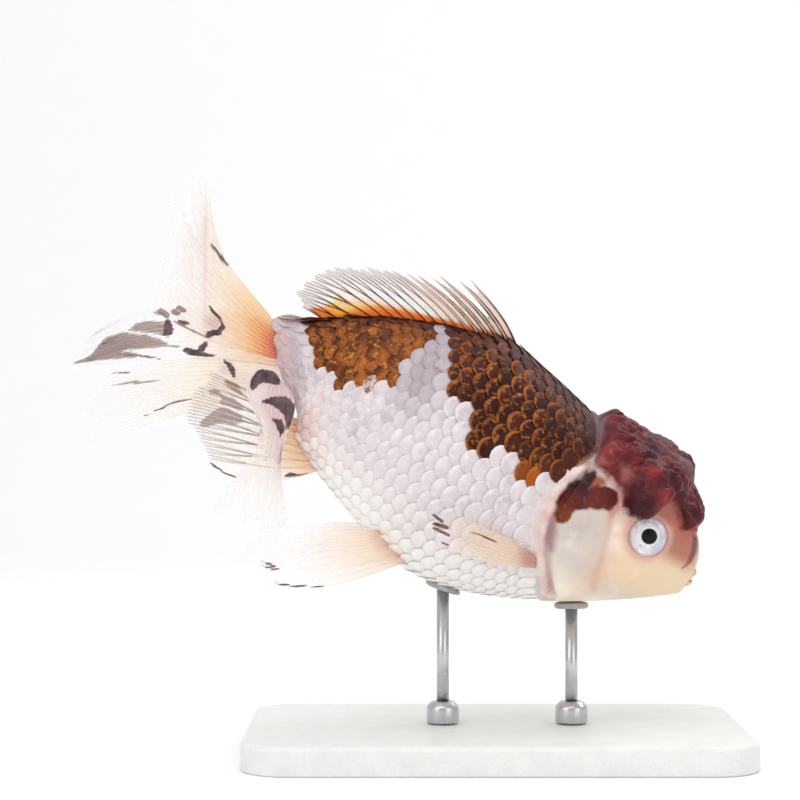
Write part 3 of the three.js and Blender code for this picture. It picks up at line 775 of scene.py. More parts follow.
GLOW_SPOTS = [(71.5, 15.6, 2.6), (75.5, 15.2, 2), (79.8, 14.8, 1.7), (83.6, 11.2, 1.7), (89.6, 15.2, 1.3)]
PINK_SPOTS = [(69.4, 11.4, 1.7), (72, 9.4, 1.5), (74.6, 11.2, 1.6), (75.6, 7.4, 1.2), (86.3, 8.6, 2.2)]
WART_DOTS = [(70.3, 10.4, 0.75), (73, 10.6, 1.1), (70.2, 13, 0.6), (77.7, 6.6, 0.6)]
DARK_SPOTS = [
    (78.9, 8.6, 3), (80.2, 5.8, 2.2), (89.2, 9.6, 1.5), (90.4, 8.2, 1.3), (87.2, 14.6, 1.6),
    (83.4, 16.4, 1.7), (92.4, 11.6, 1.1), (77.8, 18.5, 2), (82, 8, 1.2), (77.7, 10.6, 1.9),
]
print(len(CHEEK_BARS + TAN_BARS + PINK_BARS + SNOUT_BARS), "bars on the right cheek and snout")

# %% [markdown]
# Every mark is worked out once for each point of the skin and stored there under a plain name. Materials
# read these numbers later, so they need no picture, and a mark keeps its place whatever the skin's relief
# does.

# %% Marks stored on the skin
NO_MARK = -3.0
along_grid, up_grid = skin_points[..., 0], skin_points[..., 2]
on_right = skin_points[..., 1] < 0
edge_grid = coat_edge(angle_grid)
past_edge = place_grid - edge_grid
collar_start = smooth(-COLLAR_WIDTH - 1.5, -COLLAR_WIDTH + 0.3, past_edge)
under_coat = smooth(-0.8, 0.8, edge_grid - COLLAR_WIDTH - place_grid)


def bars_here(bars):
    return inside_bars(along_grid, up_grid, bars)


def spots_here(spots):
    return inside_spots(along_grid, up_grid, spots)


nose_tip = smooth(95.5, 98, along_grid)
snout_front = smooth(85.5, 91, along_grid) * smooth(-1.5, 3, up_grid) * (1 - 0.55 * nose_tip)
above_eye = 0.9 * smooth(83.5, 86, along_grid) * smooth(5, 7, up_grid)
marks = {
    "along": along_grid,
    "up": up_grid,
    "bare_head": 1 - coat_share,
    "dark_back": mix(-6, dark_back(place_grid, angle_grid), under_coat),
    "stalk": 1 - smooth(0.2, 3.4, place_grid),
    "collar": collar_start * below(-0.3, 0.4, past_edge),
    "slit": bell(place_grid, gill_rear(angle_grid) - 0.7, 0.9) * gill_window(angle_grid),
    "gill_fold_shade": bars_here(GILL_FOLD_SHADE_BARS),
    "fold": np.maximum(bars_here(FOLD_BARS), NO_MARK),
    "cheek_mark": np.where(on_right, bars_here(CHEEK_BARS), bars_here(LEFT_CHEEK_BARS)),
    "tan": np.where(on_right, bars_here(TAN_BARS), NO_MARK),
    "pink_strip": np.where(on_right, bars_here(PINK_BARS), NO_MARK),
    "snout_mark": np.where(on_right, bars_here(SNOUT_BARS), NO_MARK),
    "snout": np.maximum(snout_front, above_eye),
    "cheek_highlight": spots_here(CHEEK_HIGHLIGHT_SPOTS),
    "eye_rim": bell(eye_distance(skin_points), EYE_SHOWN + 0.3, 1.1) * (np.abs(skin_points[..., 1]) > 6),
    "hood_inside": np.clip(hood_inside, -4, 4),
    "wart_groove": wart_groove * rim_share,
    "wart_tone": wart_tone,
    "lobe_tone": lobe_tone,
    "crease": lobe_crease * rim_share,
    "crown": below(8, 36, np.abs(angle_grid)) * smooth(72, 80, place_grid),
    "glow": spots_here(GLOW_SPOTS),
    "pinkish": np.clip(spots_here(PINK_SPOTS) * 1.2 - spots_here(WART_DOTS) * 1.6, 0, 1),
    "dark_lobe": spots_here(DARK_SPOTS),
}
for mark_name, values in marks.items():
    last_ring = np.tile(values[-1], LIP_RINGS)
    store(skin, mark_name, np.concatenate([values.reshape(-1), last_ring, values[0, :1], values[-1, :1]]))
print(len(marks), "marks stored on the skin")

# %% [markdown]
# The skin's finish is layered the way the real one is. Silver-white lies at the bottom, then cream on the
# cheek with a pink flush near the gill and the eye, then the dark marks, then the wet gloss. A real fish is
# slightly translucent, so a little light is let under the surface, and the slime coat is the clear layer on
# top. Fine noise breaks up each colour and the roughness, because even skin looks like plastic without it.

# %% Skin finish: silver flank and cream cheek
wet = Finish("wet_fish_skin")
fine, medium, broad = wet.noise(900, 3), wet.noise(260, 3), wet.noise(90, 2)


def rough_edge(mark, wobble, low=-0.25, high=0.4):
    """0 outside a stored mark and 1 inside, with a border that wanders by the noise."""
    return wet.fade(wet.sum(mark, medium, wobble), low, high)


pearl = wet.layers(
    wet.blend(wet.fade("up", -24, 4), (232, 228, 220), (224, 214, 214)),
    (wet.fade(broad, -0.1, 0.25), (206, 196, 202)),
)
wandering = wet.sum("along", medium, 9)
flush = wet.maths("SUBTRACT", wet.fade(wandering, 73, 79), wet.fade(wandering, 79.5, 84))
cream = wet.layers(
    wet.blend(wet.fade(broad, -0.15, 0.2), (212, 202, 192), (198, 184, 176)),
    (wet.fade(medium, 0, 0.25), 0.5, (234, 228, 220)),
    (wet.times(wet.fade("along", 77, 82), wet.fade("up", -15, -6)), 0.75, (242, 214, 176)),
    (wet.fade("up", -9, -17), (250, 242, 224)),
    # Painted highlight on the cheek behind the eye, in near-white cream.
    ("cheek_highlight", 0.7, (255, 248, 234)),
    (flush, 0.35, (226, 180, 158)),
    # Partly a pink tone, partly painted shade along the cheek fold.
    (rough_edge("fold", 3, -0.9, 0.9), 0.35, (212, 148, 132)),
    ("snout", 0.9, wet.blend(wet.fade("up", 4.5, 7.5), (176, 104, 84), (190, 96, 90))),
    ("eye_rim", 0.75, (214, 164, 152)),
)
pale_skin = wet.blend("bare_head", pearl, cream)
print("pale skin uses", len(wet.tree.nodes), "nodes")

# %% [markdown]
# Over the pale skin come the darker parts. Skin under the dark scales is bronze, and the narrow collar behind
# the head turns from lilac-pink to plum towards the back. The gill slit and a fold along the gill cover's
# lower rear edge are darkened in dull mauve as painted shade. The cheek bar is red-brown, orange at its foot
# and nearly black at its upper end.

# %% Skin finish: collar, gills and dark marks
bronze = wet.blend(wet.fade(medium, -0.15, 0.2), (78, 40, 34), (132, 78, 40))
collar = wet.layers(
    wet.blend(wet.fade(medium, -0.1, 0.15), (230, 212, 204), (212, 180, 174)),
    (wet.fade(wet.sum("up", medium, 6), 8.5, 12.5), (84, 50, 60)),
    (wet.fade(wet.sum("up", medium, 8), 14, 18, 0, 0.6), (134, 104, 122)),
)
cheek_bar = wet.layers(
    wet.blend(wet.fade("up", -1.5, 1.5), (124, 60, 26), (104, 38, 32)),
    (wet.times(wet.fade("up", 1.5, 5), wet.fade("along", 70.5, 69)), (56, 24, 32)),
    (wet.fade(wet.sum(medium, fine, 0.5), -0.05, 0.2), 0.55, (78, 28, 28)),
)
snout_stripe = wet.blend(wet.fade("up", 1, 5), (150, 88, 84), (104, 70, 78))
marked_skin = wet.layers(
    pale_skin,
    (rough_edge("dark_back", 2), bronze),
    ("stalk", 0.8, (222, 158, 152)),
    ("collar", 0.95, collar),
    # Painted shade: dull mauve in the gill slit and along the gill fold.
    ("slit", 0.4, (190, 150, 150)),
    (rough_edge("gill_fold_shade", 1.5, -0.9, 0.7), 0.75, (162, 118, 126)),
    (rough_edge("pink_strip", 2, -0.8, 0.5), 0.75, (204, 140, 132)),
    (rough_edge("tan", 2, -0.7, 0.7), 0.95, (158, 82, 50)),
    (rough_edge("cheek_mark", 2.6, -0.4, 0.5), cheek_bar),
    (rough_edge("snout_mark", 0.7), 0.9, snout_stripe),
    (wet.fade(fine, 0.05, 0.4, 0, 0.12), (255, 244, 240)),
)
print("with its marks", len(wet.tree.nodes), "nodes")

# %% [markdown]
# The hood has its own palette. Each wart and each larger lobe got a random tone when it was made, and the
# plum red is mixed from those, so neighbouring warts differ as berries in a cluster do. The crown is painted
# greyer and lighter as a highlight, a few lobes are nearly black, and the grooves between warts and lobes are
# painted paler as highlights, the creases more so towards the top.

# %% Skin finish: hood, gloss and bump
tone = wet.sum(wet.sum("lobe_tone", "wart_tone", 0.5), broad, 1.2)
plum = wet.layers(
    wet.blend(wet.fade(tone, 0.2, 1.2), (72, 26, 34), (116, 40, 40)),
    (wet.times("glow", wet.fade(tone, 0.1, 1, 0.5, 1)), 0.75, (146, 42, 42)),
    # Painted highlight: lighter grey mauve over the crown of the hood.
    (wet.times("crown", wet.fade(wet.sum(medium, broad), -0.2, 0.2)), 0.7, (158, 122, 128)),
    ("dark_lobe", 0.95, (56, 16, 22)),
    ("pinkish", 0.65, (168, 100, 94)),
    # Painted highlights: paler grooves between warts, and paler creases between lobes that grow stronger
    # towards the top.
    (wet.times("wart_groove", wet.fade(broad, -0.15, 0.2, 0.1, 0.4)), 0.4, (150, 92, 94)),
    (wet.times("crease", wet.fade(wet.sum("up", broad, 8), 9, 16, 0.05, 0.28)), (158, 116, 120)),
    (wet.fade(fine, 0.1, 0.3, 0, 0.2), (140, 78, 82)),
)
wet.set(base_color=wet.blend(rough_edge("hood_inside", 1.4), marked_skin, plum))
wet.set(roughness=wet.fade(medium, -0.3, 0.3, 0.34, 0.5), specular=0.12, coat=0.06, coat_roughness=0.2)
wet.set(subsurface=0.12, subsurface_scale=1.2 * MM, subsurface_radius=(1, 0.45, 0.35))
wet.bump(wet.sum(fine, wet.cells(1400), 0.25), 0.16, 0.12 * MM)
skin.data.materials.append(wet.material)

FLESH_NODES = ["trunk", "tail_stalk", "head", "hood", "lips", "gill_cover_right", "gill_cover_left"]
PIECES.append((skin, "scaled_skin", FLESH_NODES))
print("the whole skin finish has", len(wet.tree.nodes), "nodes")

# %% [markdown]
# A goldfish wears about eight hundred large scales. Each is a thin horny plate, rooted towards the head, with
# a round rear edge that lies free. They sit in rows along the body like roof tiles, and each row is shifted
# by half a scale against the next. One tile is modelled here, and the next cells repeat it. It is a sheet
# bent into a dome with a real thickness, because the free edge is what catches the light.

# %% One scale
TILE_COLUMNS, TILE_ROWS = 8, 4
TILE_EDGE = 0.2


def tile_outline_end(across):
    """How far back the round rear edge reaches, for a point from -1 to 1 across."""
    return 0.52 + 0.48 * np.sqrt(np.clip(1 - across**2, 0, 1))


def tile_mesh():
    """A unit scale: 1 wide, 1 long from root to rear edge, about 1 high, with its face up."""
    across = np.sin(np.linspace(-pi / 2, pi / 2, TILE_COLUMNS + 1))
    back = np.linspace(0, 1, TILE_ROWS + 1)
    v, a = np.meshgrid(back, across, indexing="ij")
    x, y = 0.5 * a * mix(0.86, 1, v), v * tile_outline_end(a)
    z = -0.3 + 1.3 * v**0.8 - 0.32 * a**2
    top = np.stack([x, y, z], -1).reshape(-1, 3)
    wide = TILE_COLUMNS + 1
    last = wide * TILE_ROWS
    ring = (
        list(range(wide)) + [wide * (i + 1) - 1 for i in range(1, TILE_ROWS + 1)]
        + list(range(last + wide - 2, last - 1, -1)) + [wide * i for i in range(TILE_ROWS - 1, 0, -1)]
    )
    lower = top[ring] - [0, 0, TILE_EDGE]
    vertices = np.vstack([top, lower, lower.mean(0) - [0, 0, 0.2]])
    faces = []
    for i in range(TILE_ROWS):
        for j in range(TILE_COLUMNS):
            k = i * wide + j
            faces.append((k, k + 1, k + wide + 1, k + wide))
    low = len(top)
    count = len(ring)
    for i in range(count):
        after = (i + 1) % count
        faces.append((ring[i], low + i, low + after, ring[after]))
        faces.append((low + i, low + count, low + after))
    across_values = np.concatenate([a.reshape(-1), a.reshape(-1)[ring], [0]])
    rimward_values = np.concatenate([v.reshape(-1), v.reshape(-1)[ring], [0.5]])
    return vertices, faces, across_values, rimward_values


tile_vertices, tile_faces, tile_across, tile_rimward = tile_mesh()
tile = mesh_object("scale_tile", tile_vertices, tile_faces)
store(tile, "across", tile_across)
store(tile, "rimward", tile_rimward)
print("one scale:", len(tile_faces), "faces")

# %% [markdown]
# Where does each scale go? Rows are counted up and down from the lateral line, the middle of the flank, and
# their pitch shrinks towards the tail. That keeps the diagonal pattern unbroken, and rows simply run out
# along the back and the belly, as on the real fish. Each root also gets its marking here, one value for the
# whole scale. That is why the patches end in a ragged edge, scale by scale, and not in a clean line.

# %% Roots of the scales
LATERAL_ANGLE = 85
SCALE_SEED = 5
ROW_PITCH = ([0, 8, 20, 35, 55, 66, 76], [2.2, 2.6, 3.2, 3.9, 4.1, 3.7, 3.4])
SPACING = ([0, 10, 24, 36, 54, 64, 76], [1.9, 2.1, 2.5, 2.8, 2.8, 2.2, 2.3])


def scale_roots():
    """Rows of (place, angle, pitch, spacing) for both flanks, from the throat back to the tail root."""
    roots = []
    place, column = 76.4, 0
    angles = np.linspace(0, 180, 361)
    while place > 3.2:
        spacing = float(np.interp(place, *SPACING))
        pitch = float(np.interp(place, *ROW_PITCH))
        section = body_point(np.full(angles.shape, place), angles)
        arc = np.concatenate([[0], np.cumsum(np.linalg.norm(np.diff(section, axis=0), axis=1))])
        lateral = np.interp(LATERAL_ANGLE, angles, arc)
        first, last = int(-lateral / pitch) - 1, int((arc[-1] - lateral) / pitch) + 1
        for row in range(first, last + 1):
            distance = lateral + row * pitch
            if (row + column) % 2 or not 0.9 < distance < arc[-1] - 0.3:
                continue
            angle = float(np.interp(distance, arc, angles))
            if place < float(coat_edge(angle)) - COLLAR_WIDTH + 1.2:
                roots += [(place, angle, pitch, spacing), (place, -angle, pitch, spacing)]
        if column % 2 == 0 and place < float(coat_edge(0)) - COLLAR_WIDTH + 1.2:
            roots.append((place, 0, pitch, spacing))
        place -= spacing / 2
        column += 1
    return np.array(roots)


roots = scale_roots()
root_place, root_angle, root_pitch, root_spacing = roots.T
scale_random = np.random.default_rng(SCALE_SEED)
jitter = scale_random.uniform(-1, 1, len(roots))
shown_place = root_place - 1.6 * root_spacing
root_point, root_outward, root_ahead = body_frame(root_place, root_angle)
mean_radius = np.interp(root_place, *MEAN_RADIUS)
inside_back = dark_back(shown_place, root_angle) + 0.8 * jitter
turn = np.abs(root_angle)
flushed_belly = bell(shown_place, 9, 9) * smooth(95, 140, turn)
saddle_shade = bell(shown_place, 28.8, 5.2) * below(64, 92, turn)
stalk_size = below(6, 14, root_place)
root_values = {
    "dark": smooth(-0.4, 0.7, inside_back),
    "tone": scale_random.uniform(0, 1, len(roots)),
    "ochre": 1 - 0.75 * smooth(26, 31, shown_place),
    "ridge": np.maximum(below(17, 38, turn + 5 * jitter), smooth(57, 66, shown_place + 2 * jitter)),
    "orange": bell(shown_place, 58, 3.2) * bell(turn, 82, 9) * (root_angle < 0),
    "flush": np.maximum(flushed_belly, 0.9 * below(0, 3.5, shown_place)),
    "shade": np.maximum(saddle_shade, 0.6 * below(2, 9, shown_place)),
    "belly": smooth(105, 150, turn),
    "bend": 1 / mean_radius,
    "wide": root_pitch * mix(1.36, 1.75, stalk_size),
    "long": root_spacing * mix(2.15, 2.7, stalk_size),
    "root_u": turn / 180,
    "root_v": root_place / 80,
}
print(len(roots), "scales,", int((root_values["dark"] > 0.5).sum()), "of them dark")

# %% [markdown]
# Geometry Nodes repeat the tile. The tree reads each root's direction, turns a copy of the tile so that its
# face points out of the body and its length points to the tail, sizes it, and makes the copies real mesh.
# A last step bends every copy down at its sides, so that it hugs the round flank. The lift, the unevenness of
# the lengths and the seed are named inputs, so that the coat could be made flatter or more uneven from the
# modifier panel.

# %% Scale tree
TREE_INPUTS = [
    ("Geometry", "Geometry"), ("Tile", "Object"), ("Lift", "Float"), ("Uneven", "Float"), ("Seed", "Int"),
]


def socket_id(tree, name):
    """The identifier of a tree's named input, which is what a modifier is set by."""
    return next(item.identifier for item in tree.interface.items_tree
                if item.name == name and item.in_out == "INPUT")


def scale_tree(material):
    tree = bpy.data.node_groups.new("scale_coat", "GeometryNodeTree")
    for name, kind in TREE_INPUTS:
        tree.interface.new_socket(name, in_out="INPUT", socket_type="NodeSocket" + kind)
    tree.interface.new_socket("Geometry", in_out="OUTPUT", socket_type="NodeSocketGeometry")

    def add(kind, inputs, **settings):
        """A node with its settings, and with each listed input linked or set."""
        node = tree.nodes.new(kind)
        for name, value in settings.items():
            setattr(node, name, value)
        for key, value in inputs.items():
            if isinstance(value, bpy.types.NodeSocket):
                tree.links.new(value, node.inputs[key])
            else:
                node.inputs[key].default_value = value
        return node.outputs

    def named(name, kind="FLOAT"):
        return add("GeometryNodeInputNamedAttribute", {"Name": name}, data_type=kind)["Attribute"]

    def maths(operation, first, second):
        return add("ShaderNodeMath", {0: first, 1: second}, operation=operation)[0]

    given = tree.nodes.new("NodeGroupInput").outputs
    shortest = maths("SUBTRACT", 1, given["Uneven"])
    longest = maths("ADD", 1, given["Uneven"])
    limits = {2: shortest, 3: longest, "Seed": given["Seed"]}
    uneven = add("FunctionNodeRandomValue", limits, data_type="FLOAT")[1]
    length = maths("MULTIPLY", named("long"), uneven)
    size = add("ShaderNodeCombineXYZ", {"X": named("wide"), "Y": length, "Z": given["Lift"]})[0]
    axes = {"Primary Axis": named("outward", "FLOAT_VECTOR"), "Secondary Axis": named("lie", "FLOAT_VECTOR")}
    turn = add("FunctionNodeAxesToRotation", axes, primary_axis="Z", secondary_axis="Y")[0]
    shape = add("GeometryNodeObjectInfo", {"Object": given["Tile"]})["Geometry"]
    copies = add("GeometryNodeInstanceOnPoints", {
        "Points": given["Geometry"], "Instance": shape, "Rotation": turn, "Scale": size})[0]
    real = add("GeometryNodeRealizeInstances", {"Geometry": copies})[0]
    half = maths("MULTIPLY", maths("MULTIPLY", named("across"), named("wide")), 0.5)
    sag = maths("MULTIPLY", maths("MULTIPLY", half, half), maths("MULTIPLY", named("bend"), -0.5))
    outward = named("outward", "FLOAT_VECTOR")
    push = add("ShaderNodeVectorMath", {0: outward, "Scale": sag}, operation="SCALE")[0]
    settled = add("GeometryNodeSetPosition", {"Geometry": real, "Offset": push})[0]
    coat = add("GeometryNodeSetMaterial", {"Geometry": settled, "Material": material})[0]
    tree.links.new(coat, tree.nodes.new("NodeGroupOutput").inputs["Geometry"])
    return tree


print("the tree takes roots and gives a coat")

# %% [markdown]
# A scale's finish changes from its root to its rim. On the silver flank the plate is pearly, with a painted
# highlight, a lighter crescent, along the free edge. Towards the belly a paler tone is raised to near white
# as painted light from below. On the dark back, the middle of each scale is brown-black and its rim shines
# like old gold, most of all on the front patch; near the back ridge and the head everything turns plum brown.
# The material reads one value for each scale, the mark, and one that runs from root to rim.

# %% Scale finish
horn = Finish("pearly_scale")
fine, medium, rough, broad = horn.noise(1100, 3), horn.noise(330, 3), horn.noise(800, 2), horn.noise(80, 2)
rimward = horn.sum("rimward", rough, 0.3)
silver = horn.layers(
    horn.blend(horn.fade(horn.sum(broad, medium), -0.1, 0.3), (224, 210, 212), (202, 187, 193)),
    (horn.fade(horn.sum("tone", broad, 2), 0.6, 1.3, 0, 0.4), (220, 211, 204)),
    (horn.fade(rough, -0.05, 0.25, 0, 0.45), (242, 233, 233)),
    # Painted highlight: a lighter crescent along each scale's free edge.
    (horn.fade(rimward, 0.8, 0.98), 0.5, (248, 240, 240)),
    # The belly's paler tone, raised to near white as painted light from below.
    ("belly", 0.85, (255, 251, 246)),
    ("shade", 0.95, (172, 158, 166)),
    (horn.times("flush", horn.fade("tone", 0.2, 0.9, 0.15, 0.6)), (232, 160, 146)),
    (horn.fade(fine, 0, 0.4, 0, 0.1), (250, 244, 240)),
)

core = horn.layers(
    horn.blend("ochre", (46, 14, 12), (76, 36, 16)),
    (horn.fade(horn.sum("tone", rough, 1.6), 0.4, 1), (84, 34, 16)),
)
old_gold = horn.blend(horn.fade(horn.sum(rough, broad, 0.5), -0.15, 0.2), (176, 100, 38), (112, 52, 20))
gold_start = horn.maths("SUBTRACT", 0.93, horn.times("ochre", 0.42))
gold_rim = horn.fade(horn.maths("SUBTRACT", rimward, gold_start), 0, 0.1)
patchy = horn.fade(horn.sum(horn.sum(medium, rough, 0.8), "tone", 0.3), -0.05, 0.25, 0.12, 1)
glint = horn.times(horn.fade(horn.sum(rough, fine, 0.6), 0.06, 0.24), horn.fade(rimward, 0.25, 0.5))
plum_brown = horn.blend(horn.fade(horn.sum("tone", rough, 1.5), 0.2, 1), (50, 18, 22), (80, 34, 26))
bronze = horn.layers(
    core,
    (horn.times(gold_rim, patchy), old_gold),
    (horn.times(glint, horn.sum(0.3, "ochre", 0.5)), (204, 132, 56)),
    ("ridge", 0.85, plum_brown),
    ("orange", (196, 100, 30)),
)

horn.set(base_color=horn.blend(horn.fade(horn.sum("dark", rough, 0.8), 0.3, 0.6), silver, bronze))
horn.set(roughness=horn.fade(medium, -0.3, 0.3, 0.34, 0.5), specular=0.12, coat=0.05, coat_roughness=0.15)
horn.set(subsurface=0.12, subsurface_scale=1.0 * MM, subsurface_radius=(1, 0.5, 0.4))
ribs = horn.maths("SINE", horn.times(rimward, 70))
horn.bump(horn.sum(horn.sum(fine, ribs, 0.25), rough, 1.5), 0.35, 0.1 * MM)
print("scale finish has", len(horn.tree.nodes), "nodes")

# %% [markdown]
# The coat is made once for each flank, so that each half keeps plenty of room for baked colours. After the
# tree has run, its result is copied to a plain mesh. Each scale then gets a tiny patch on the unrolled skin,
# at its own root, so that a baked picture gives it its own colour from root to rim and no neighbour's.

# %% Coats for both flanks
LIFT, UNEVEN = 0.3, 0.06
PATCH_WIDTH, PATCH_LENGTH = 0.003, 0.009


def stored_values(made, name):
    values = np.empty(len(made.data.vertices), np.float32)
    made.data.attributes[name].data.foreach_get("value", values)
    return values


def make_coat(name, chosen, tree):
    """The scales whose roots are chosen, as one plain mesh."""
    bed = root_point[chosen] - COAT_DEPTH * root_outward[chosen]
    points = mesh_object(name + "_roots", to_world(bed), [])
    origin = to_world([0, 0, 0])
    for attribute_name, vectors in (("outward", root_outward[chosen]), ("lie", -root_ahead[chosen])):
        attribute = points.data.attributes.new(attribute_name, "FLOAT_VECTOR", "POINT")
        attribute.data.foreach_set("vector", (to_world(vectors) - origin).reshape(-1) / MM)
    for value_name, values in root_values.items():
        unit = {"wide": MM, "long": MM, "bend": 1 / MM}.get(value_name, 1)
        store(points, value_name, values[chosen] * unit)
    modifier = points.modifiers.new("scales", "NODES")
    modifier.node_group = tree
    for input_name, value in (("Tile", tile), ("Lift", LIFT * MM), ("Uneven", UNEVEN), ("Seed", SCALE_SEED)):
        modifier[socket_id(tree, input_name)] = value
    bpy.context.view_layer.update()
    evaluated = points.evaluated_get(bpy.context.evaluated_depsgraph_get())
    coat = bpy.data.objects.new(name, bpy.data.meshes.new_from_object(evaluated))
    bpy.context.scene.collection.objects.link(coat)
    bpy.data.objects.remove(points)
    coat.data.polygons.foreach_set("use_smooth", np.ones(len(coat.data.polygons), bool))
    u = stored_values(coat, "root_u") + 0.5 * PATCH_WIDTH * stored_values(coat, "across")
    v = stored_values(coat, "root_v") - PATCH_LENGTH * stored_values(coat, "rimward")
    lay_flat(coat, np.clip(np.stack([u, v], -1), 0, 1)[loop_vertices(coat)])
    return coat


coat_tree = scale_tree(horn.material)
scales_right = make_coat("scales_right", root_angle < 0, coat_tree)
scales_left = make_coat("scales_left", root_angle >= 0, coat_tree)
bpy.data.objects.remove(tile)
for coat in (scales_right, scales_left):
    PIECES.append((coat, "scaled_skin", []))
    print(coat.name, len(coat.data.polygons), "faces")

# %% [markdown]
# Fancy goldfish have long soft fins: a back fin with about eighteen rays, a tail split into four lobes, and
# paired fins below. A fin is a fan of bony rays with a film of skin between them. A cloth simulation could
# drape such a film, but it wouldn't keep the pose. Here each fin is drawn ray by ray instead. A key ray has
# a place on the root, a length and, from root to tip, the angles it climbs and leans out. Rays between the
# keys follow. The tables are nearly the same as those that shape the solids, in the fish's own frame.

# %% Fin forms
RAY_STEPS = 24


def fin_points(root, rays, side, u, v):
    """Points of the fin's middle sheet: u runs from the first ray to the last, v from the root to the tip."""
    key_places = [ray[0] for ray in rays]
    lengths = curve_at([ray[1] for ray in rays], u, key_places)
    rises = curve_at([ray[2] for ray in rays], u, key_places)
    leans = curve_at([ray[3] for ray in rays], u, key_places)
    count = rises.shape[-1]
    stations = np.linspace(0, 1, count)
    path = [curve_at(root, u)]
    for i in range(RAY_STEPS):
        middle = np.full(1, (i + 0.5) / RAY_STEPS)
        shares = curve_at(np.eye(count), middle, stations)[0]
        rise, lean = np.radians(rises @ shares), np.radians(leans @ shares)
        heading = np.stack([-np.cos(rise) * np.cos(lean), np.sin(lean), np.sin(rise) * np.cos(lean)], -1)
        path.append(path[-1] + heading * (lengths / RAY_STEPS)[..., None])
    path = np.stack(path)
    start_heading = (path[1] - path[0]) * RAY_STEPS
    at = np.clip(v, 0, None) * RAY_STEPS
    low = np.clip(at.astype(int), 0, RAY_STEPS - 1)
    part = (at - low)[..., None]
    column = np.arange(len(u))[None, :] + np.zeros(v.shape, int)
    points = path[low, column] * (1 - part) + path[low + 1, column] * part
    points += np.where(v < 0, v, 0)[..., None] * start_heading[None]
    return points * [1, side, 1]


print("fins are read in", RAY_STEPS, "steps from root to tip")

# %% [markdown]
# Seen close, each ray is a thin rod of little segments. It starts single, splits in two about half way out,
# and often splits again near the edge. The formula below takes a point of the fin and measures how near it
# is to the closest branch. The result is 1 on the rod and 0 on the film, and both shape and colour use it.

# %% Rays and their branches
COLUMNS_PER_RAY = 18
ROD_WIDTH = 0.13
NO_UNSPLIT_RAYS = (-2, -1)


def from_nearest_ray(u, look):
    """Distance to the nearest ray's middle line, from -0.5 to 0.5 of the gap between rays."""
    return (u * (look["rays"] - 1) + 0.5) % 1.0 - 0.5


def nearest_ray(u, look):
    return np.rint(u * (look["rays"] - 1)).astype(int)


def ray_profile(u, v, look):
    """1 on the middle line of a ray or of its branches, 0 on the film between."""
    later = np.random.default_rng(look["seed"] + 100).uniform(-0.1, 0.1, look["rays"])[nearest_ray(u, look)]
    first_split, second_split = look["splits"]
    parted = smooth(*look.get("unsplit", NO_UNSPLIT_RAYS), u)
    apart_1 = 0.25 * parted * smooth(first_split, first_split + 0.45, v - later)
    apart_2 = 0.125 * parted * smooth(second_split, second_split + 0.4, v - later)
    nearest = np.full(np.broadcast(u, v).shape, 9)
    for first_turn in (-1, 1):
        for second_turn in (-1, 1):
            branch = first_turn * apart_1 + second_turn * apart_2
            nearest = np.minimum(nearest, np.abs(from_nearest_ray(u, look) - branch))
    width = mix(look.get("first_width", ROD_WIDTH), ROD_WIDTH, parted) * (1 - 0.15 * np.clip(v, 0, 1))
    return np.exp(-((nearest / width) ** 2))


print("each ray is", COLUMNS_PER_RAY, "points wide")

# %% [markdown]
# Between rays the film is thinner than paper. The sheet is given a thickness that follows the rods, on both
# faces. The edge between two ray tips is drawn in a little, so that the tips stand out as a fringe, and
# small ripples are added towards the edge. A formula keeps film and rods one closed sheet, where copies of a
# rod, placed by Geometry Nodes, would have loose ends.

# %% Closed fin sheets
FIN_BURY = 1.5


def face_outwards(made):
    """Turn the faces of a closed mesh outwards."""
    shape = bmesh.new()
    shape.from_mesh(made.data)
    bmesh.ops.recalc_face_normals(shape, faces=shape.faces)
    shape.to_mesh(made.data)
    shape.free()


def sheet_faces(rows, columns):
    """Faces of a closed sheet: a front grid, a rear grid behind it, and walls round the rim."""
    wide = columns + 1
    total = wide * (rows + 1)
    r = np.arange(rows)[:, None] * wide
    c = np.arange(columns)[None]
    quads = np.stack([r + c, r + c + 1, r + wide + c + 1, r + wide + c], -1).reshape(-1, 4)
    down = [wide * (i + 1) - 1 for i in range(1, rows + 1)]
    back = list(range(total - 2, total - wide - 1, -1))
    up = [wide * i for i in range(rows - 1, 0, -1)]
    rim = np.array(list(range(wide)) + down + back + up)
    after = np.roll(rim, -1)
    walls = np.stack([after, rim, rim + total, after + total], -1)
    return np.vstack([quads, quads[:, ::-1] + total, walls]), len(rim)


def fin_reach(u, look):
    """How far out the film goes at u, as a share of the ray's length: cuts, notches and ragged tips."""
    tip_rod = ray_profile(u, 1, look)
    tips = np.random.default_rng(look["seed"]).uniform(-1, 1, look["rays"])[nearest_ray(u, look)]
    reach = 1 - np.interp(u, *look["notch"]) * (1 - tip_rod) + look["ragged"] * tips * tip_rod
    for cut_place, cut_width, cut_depth in look.get("cuts", []):
        reach = reach - cut_depth * bell(u, cut_place, cut_width)
    return reach - look.get("scallop", 0) * (2 * np.abs(from_nearest_ray(u, look))) ** 1.5


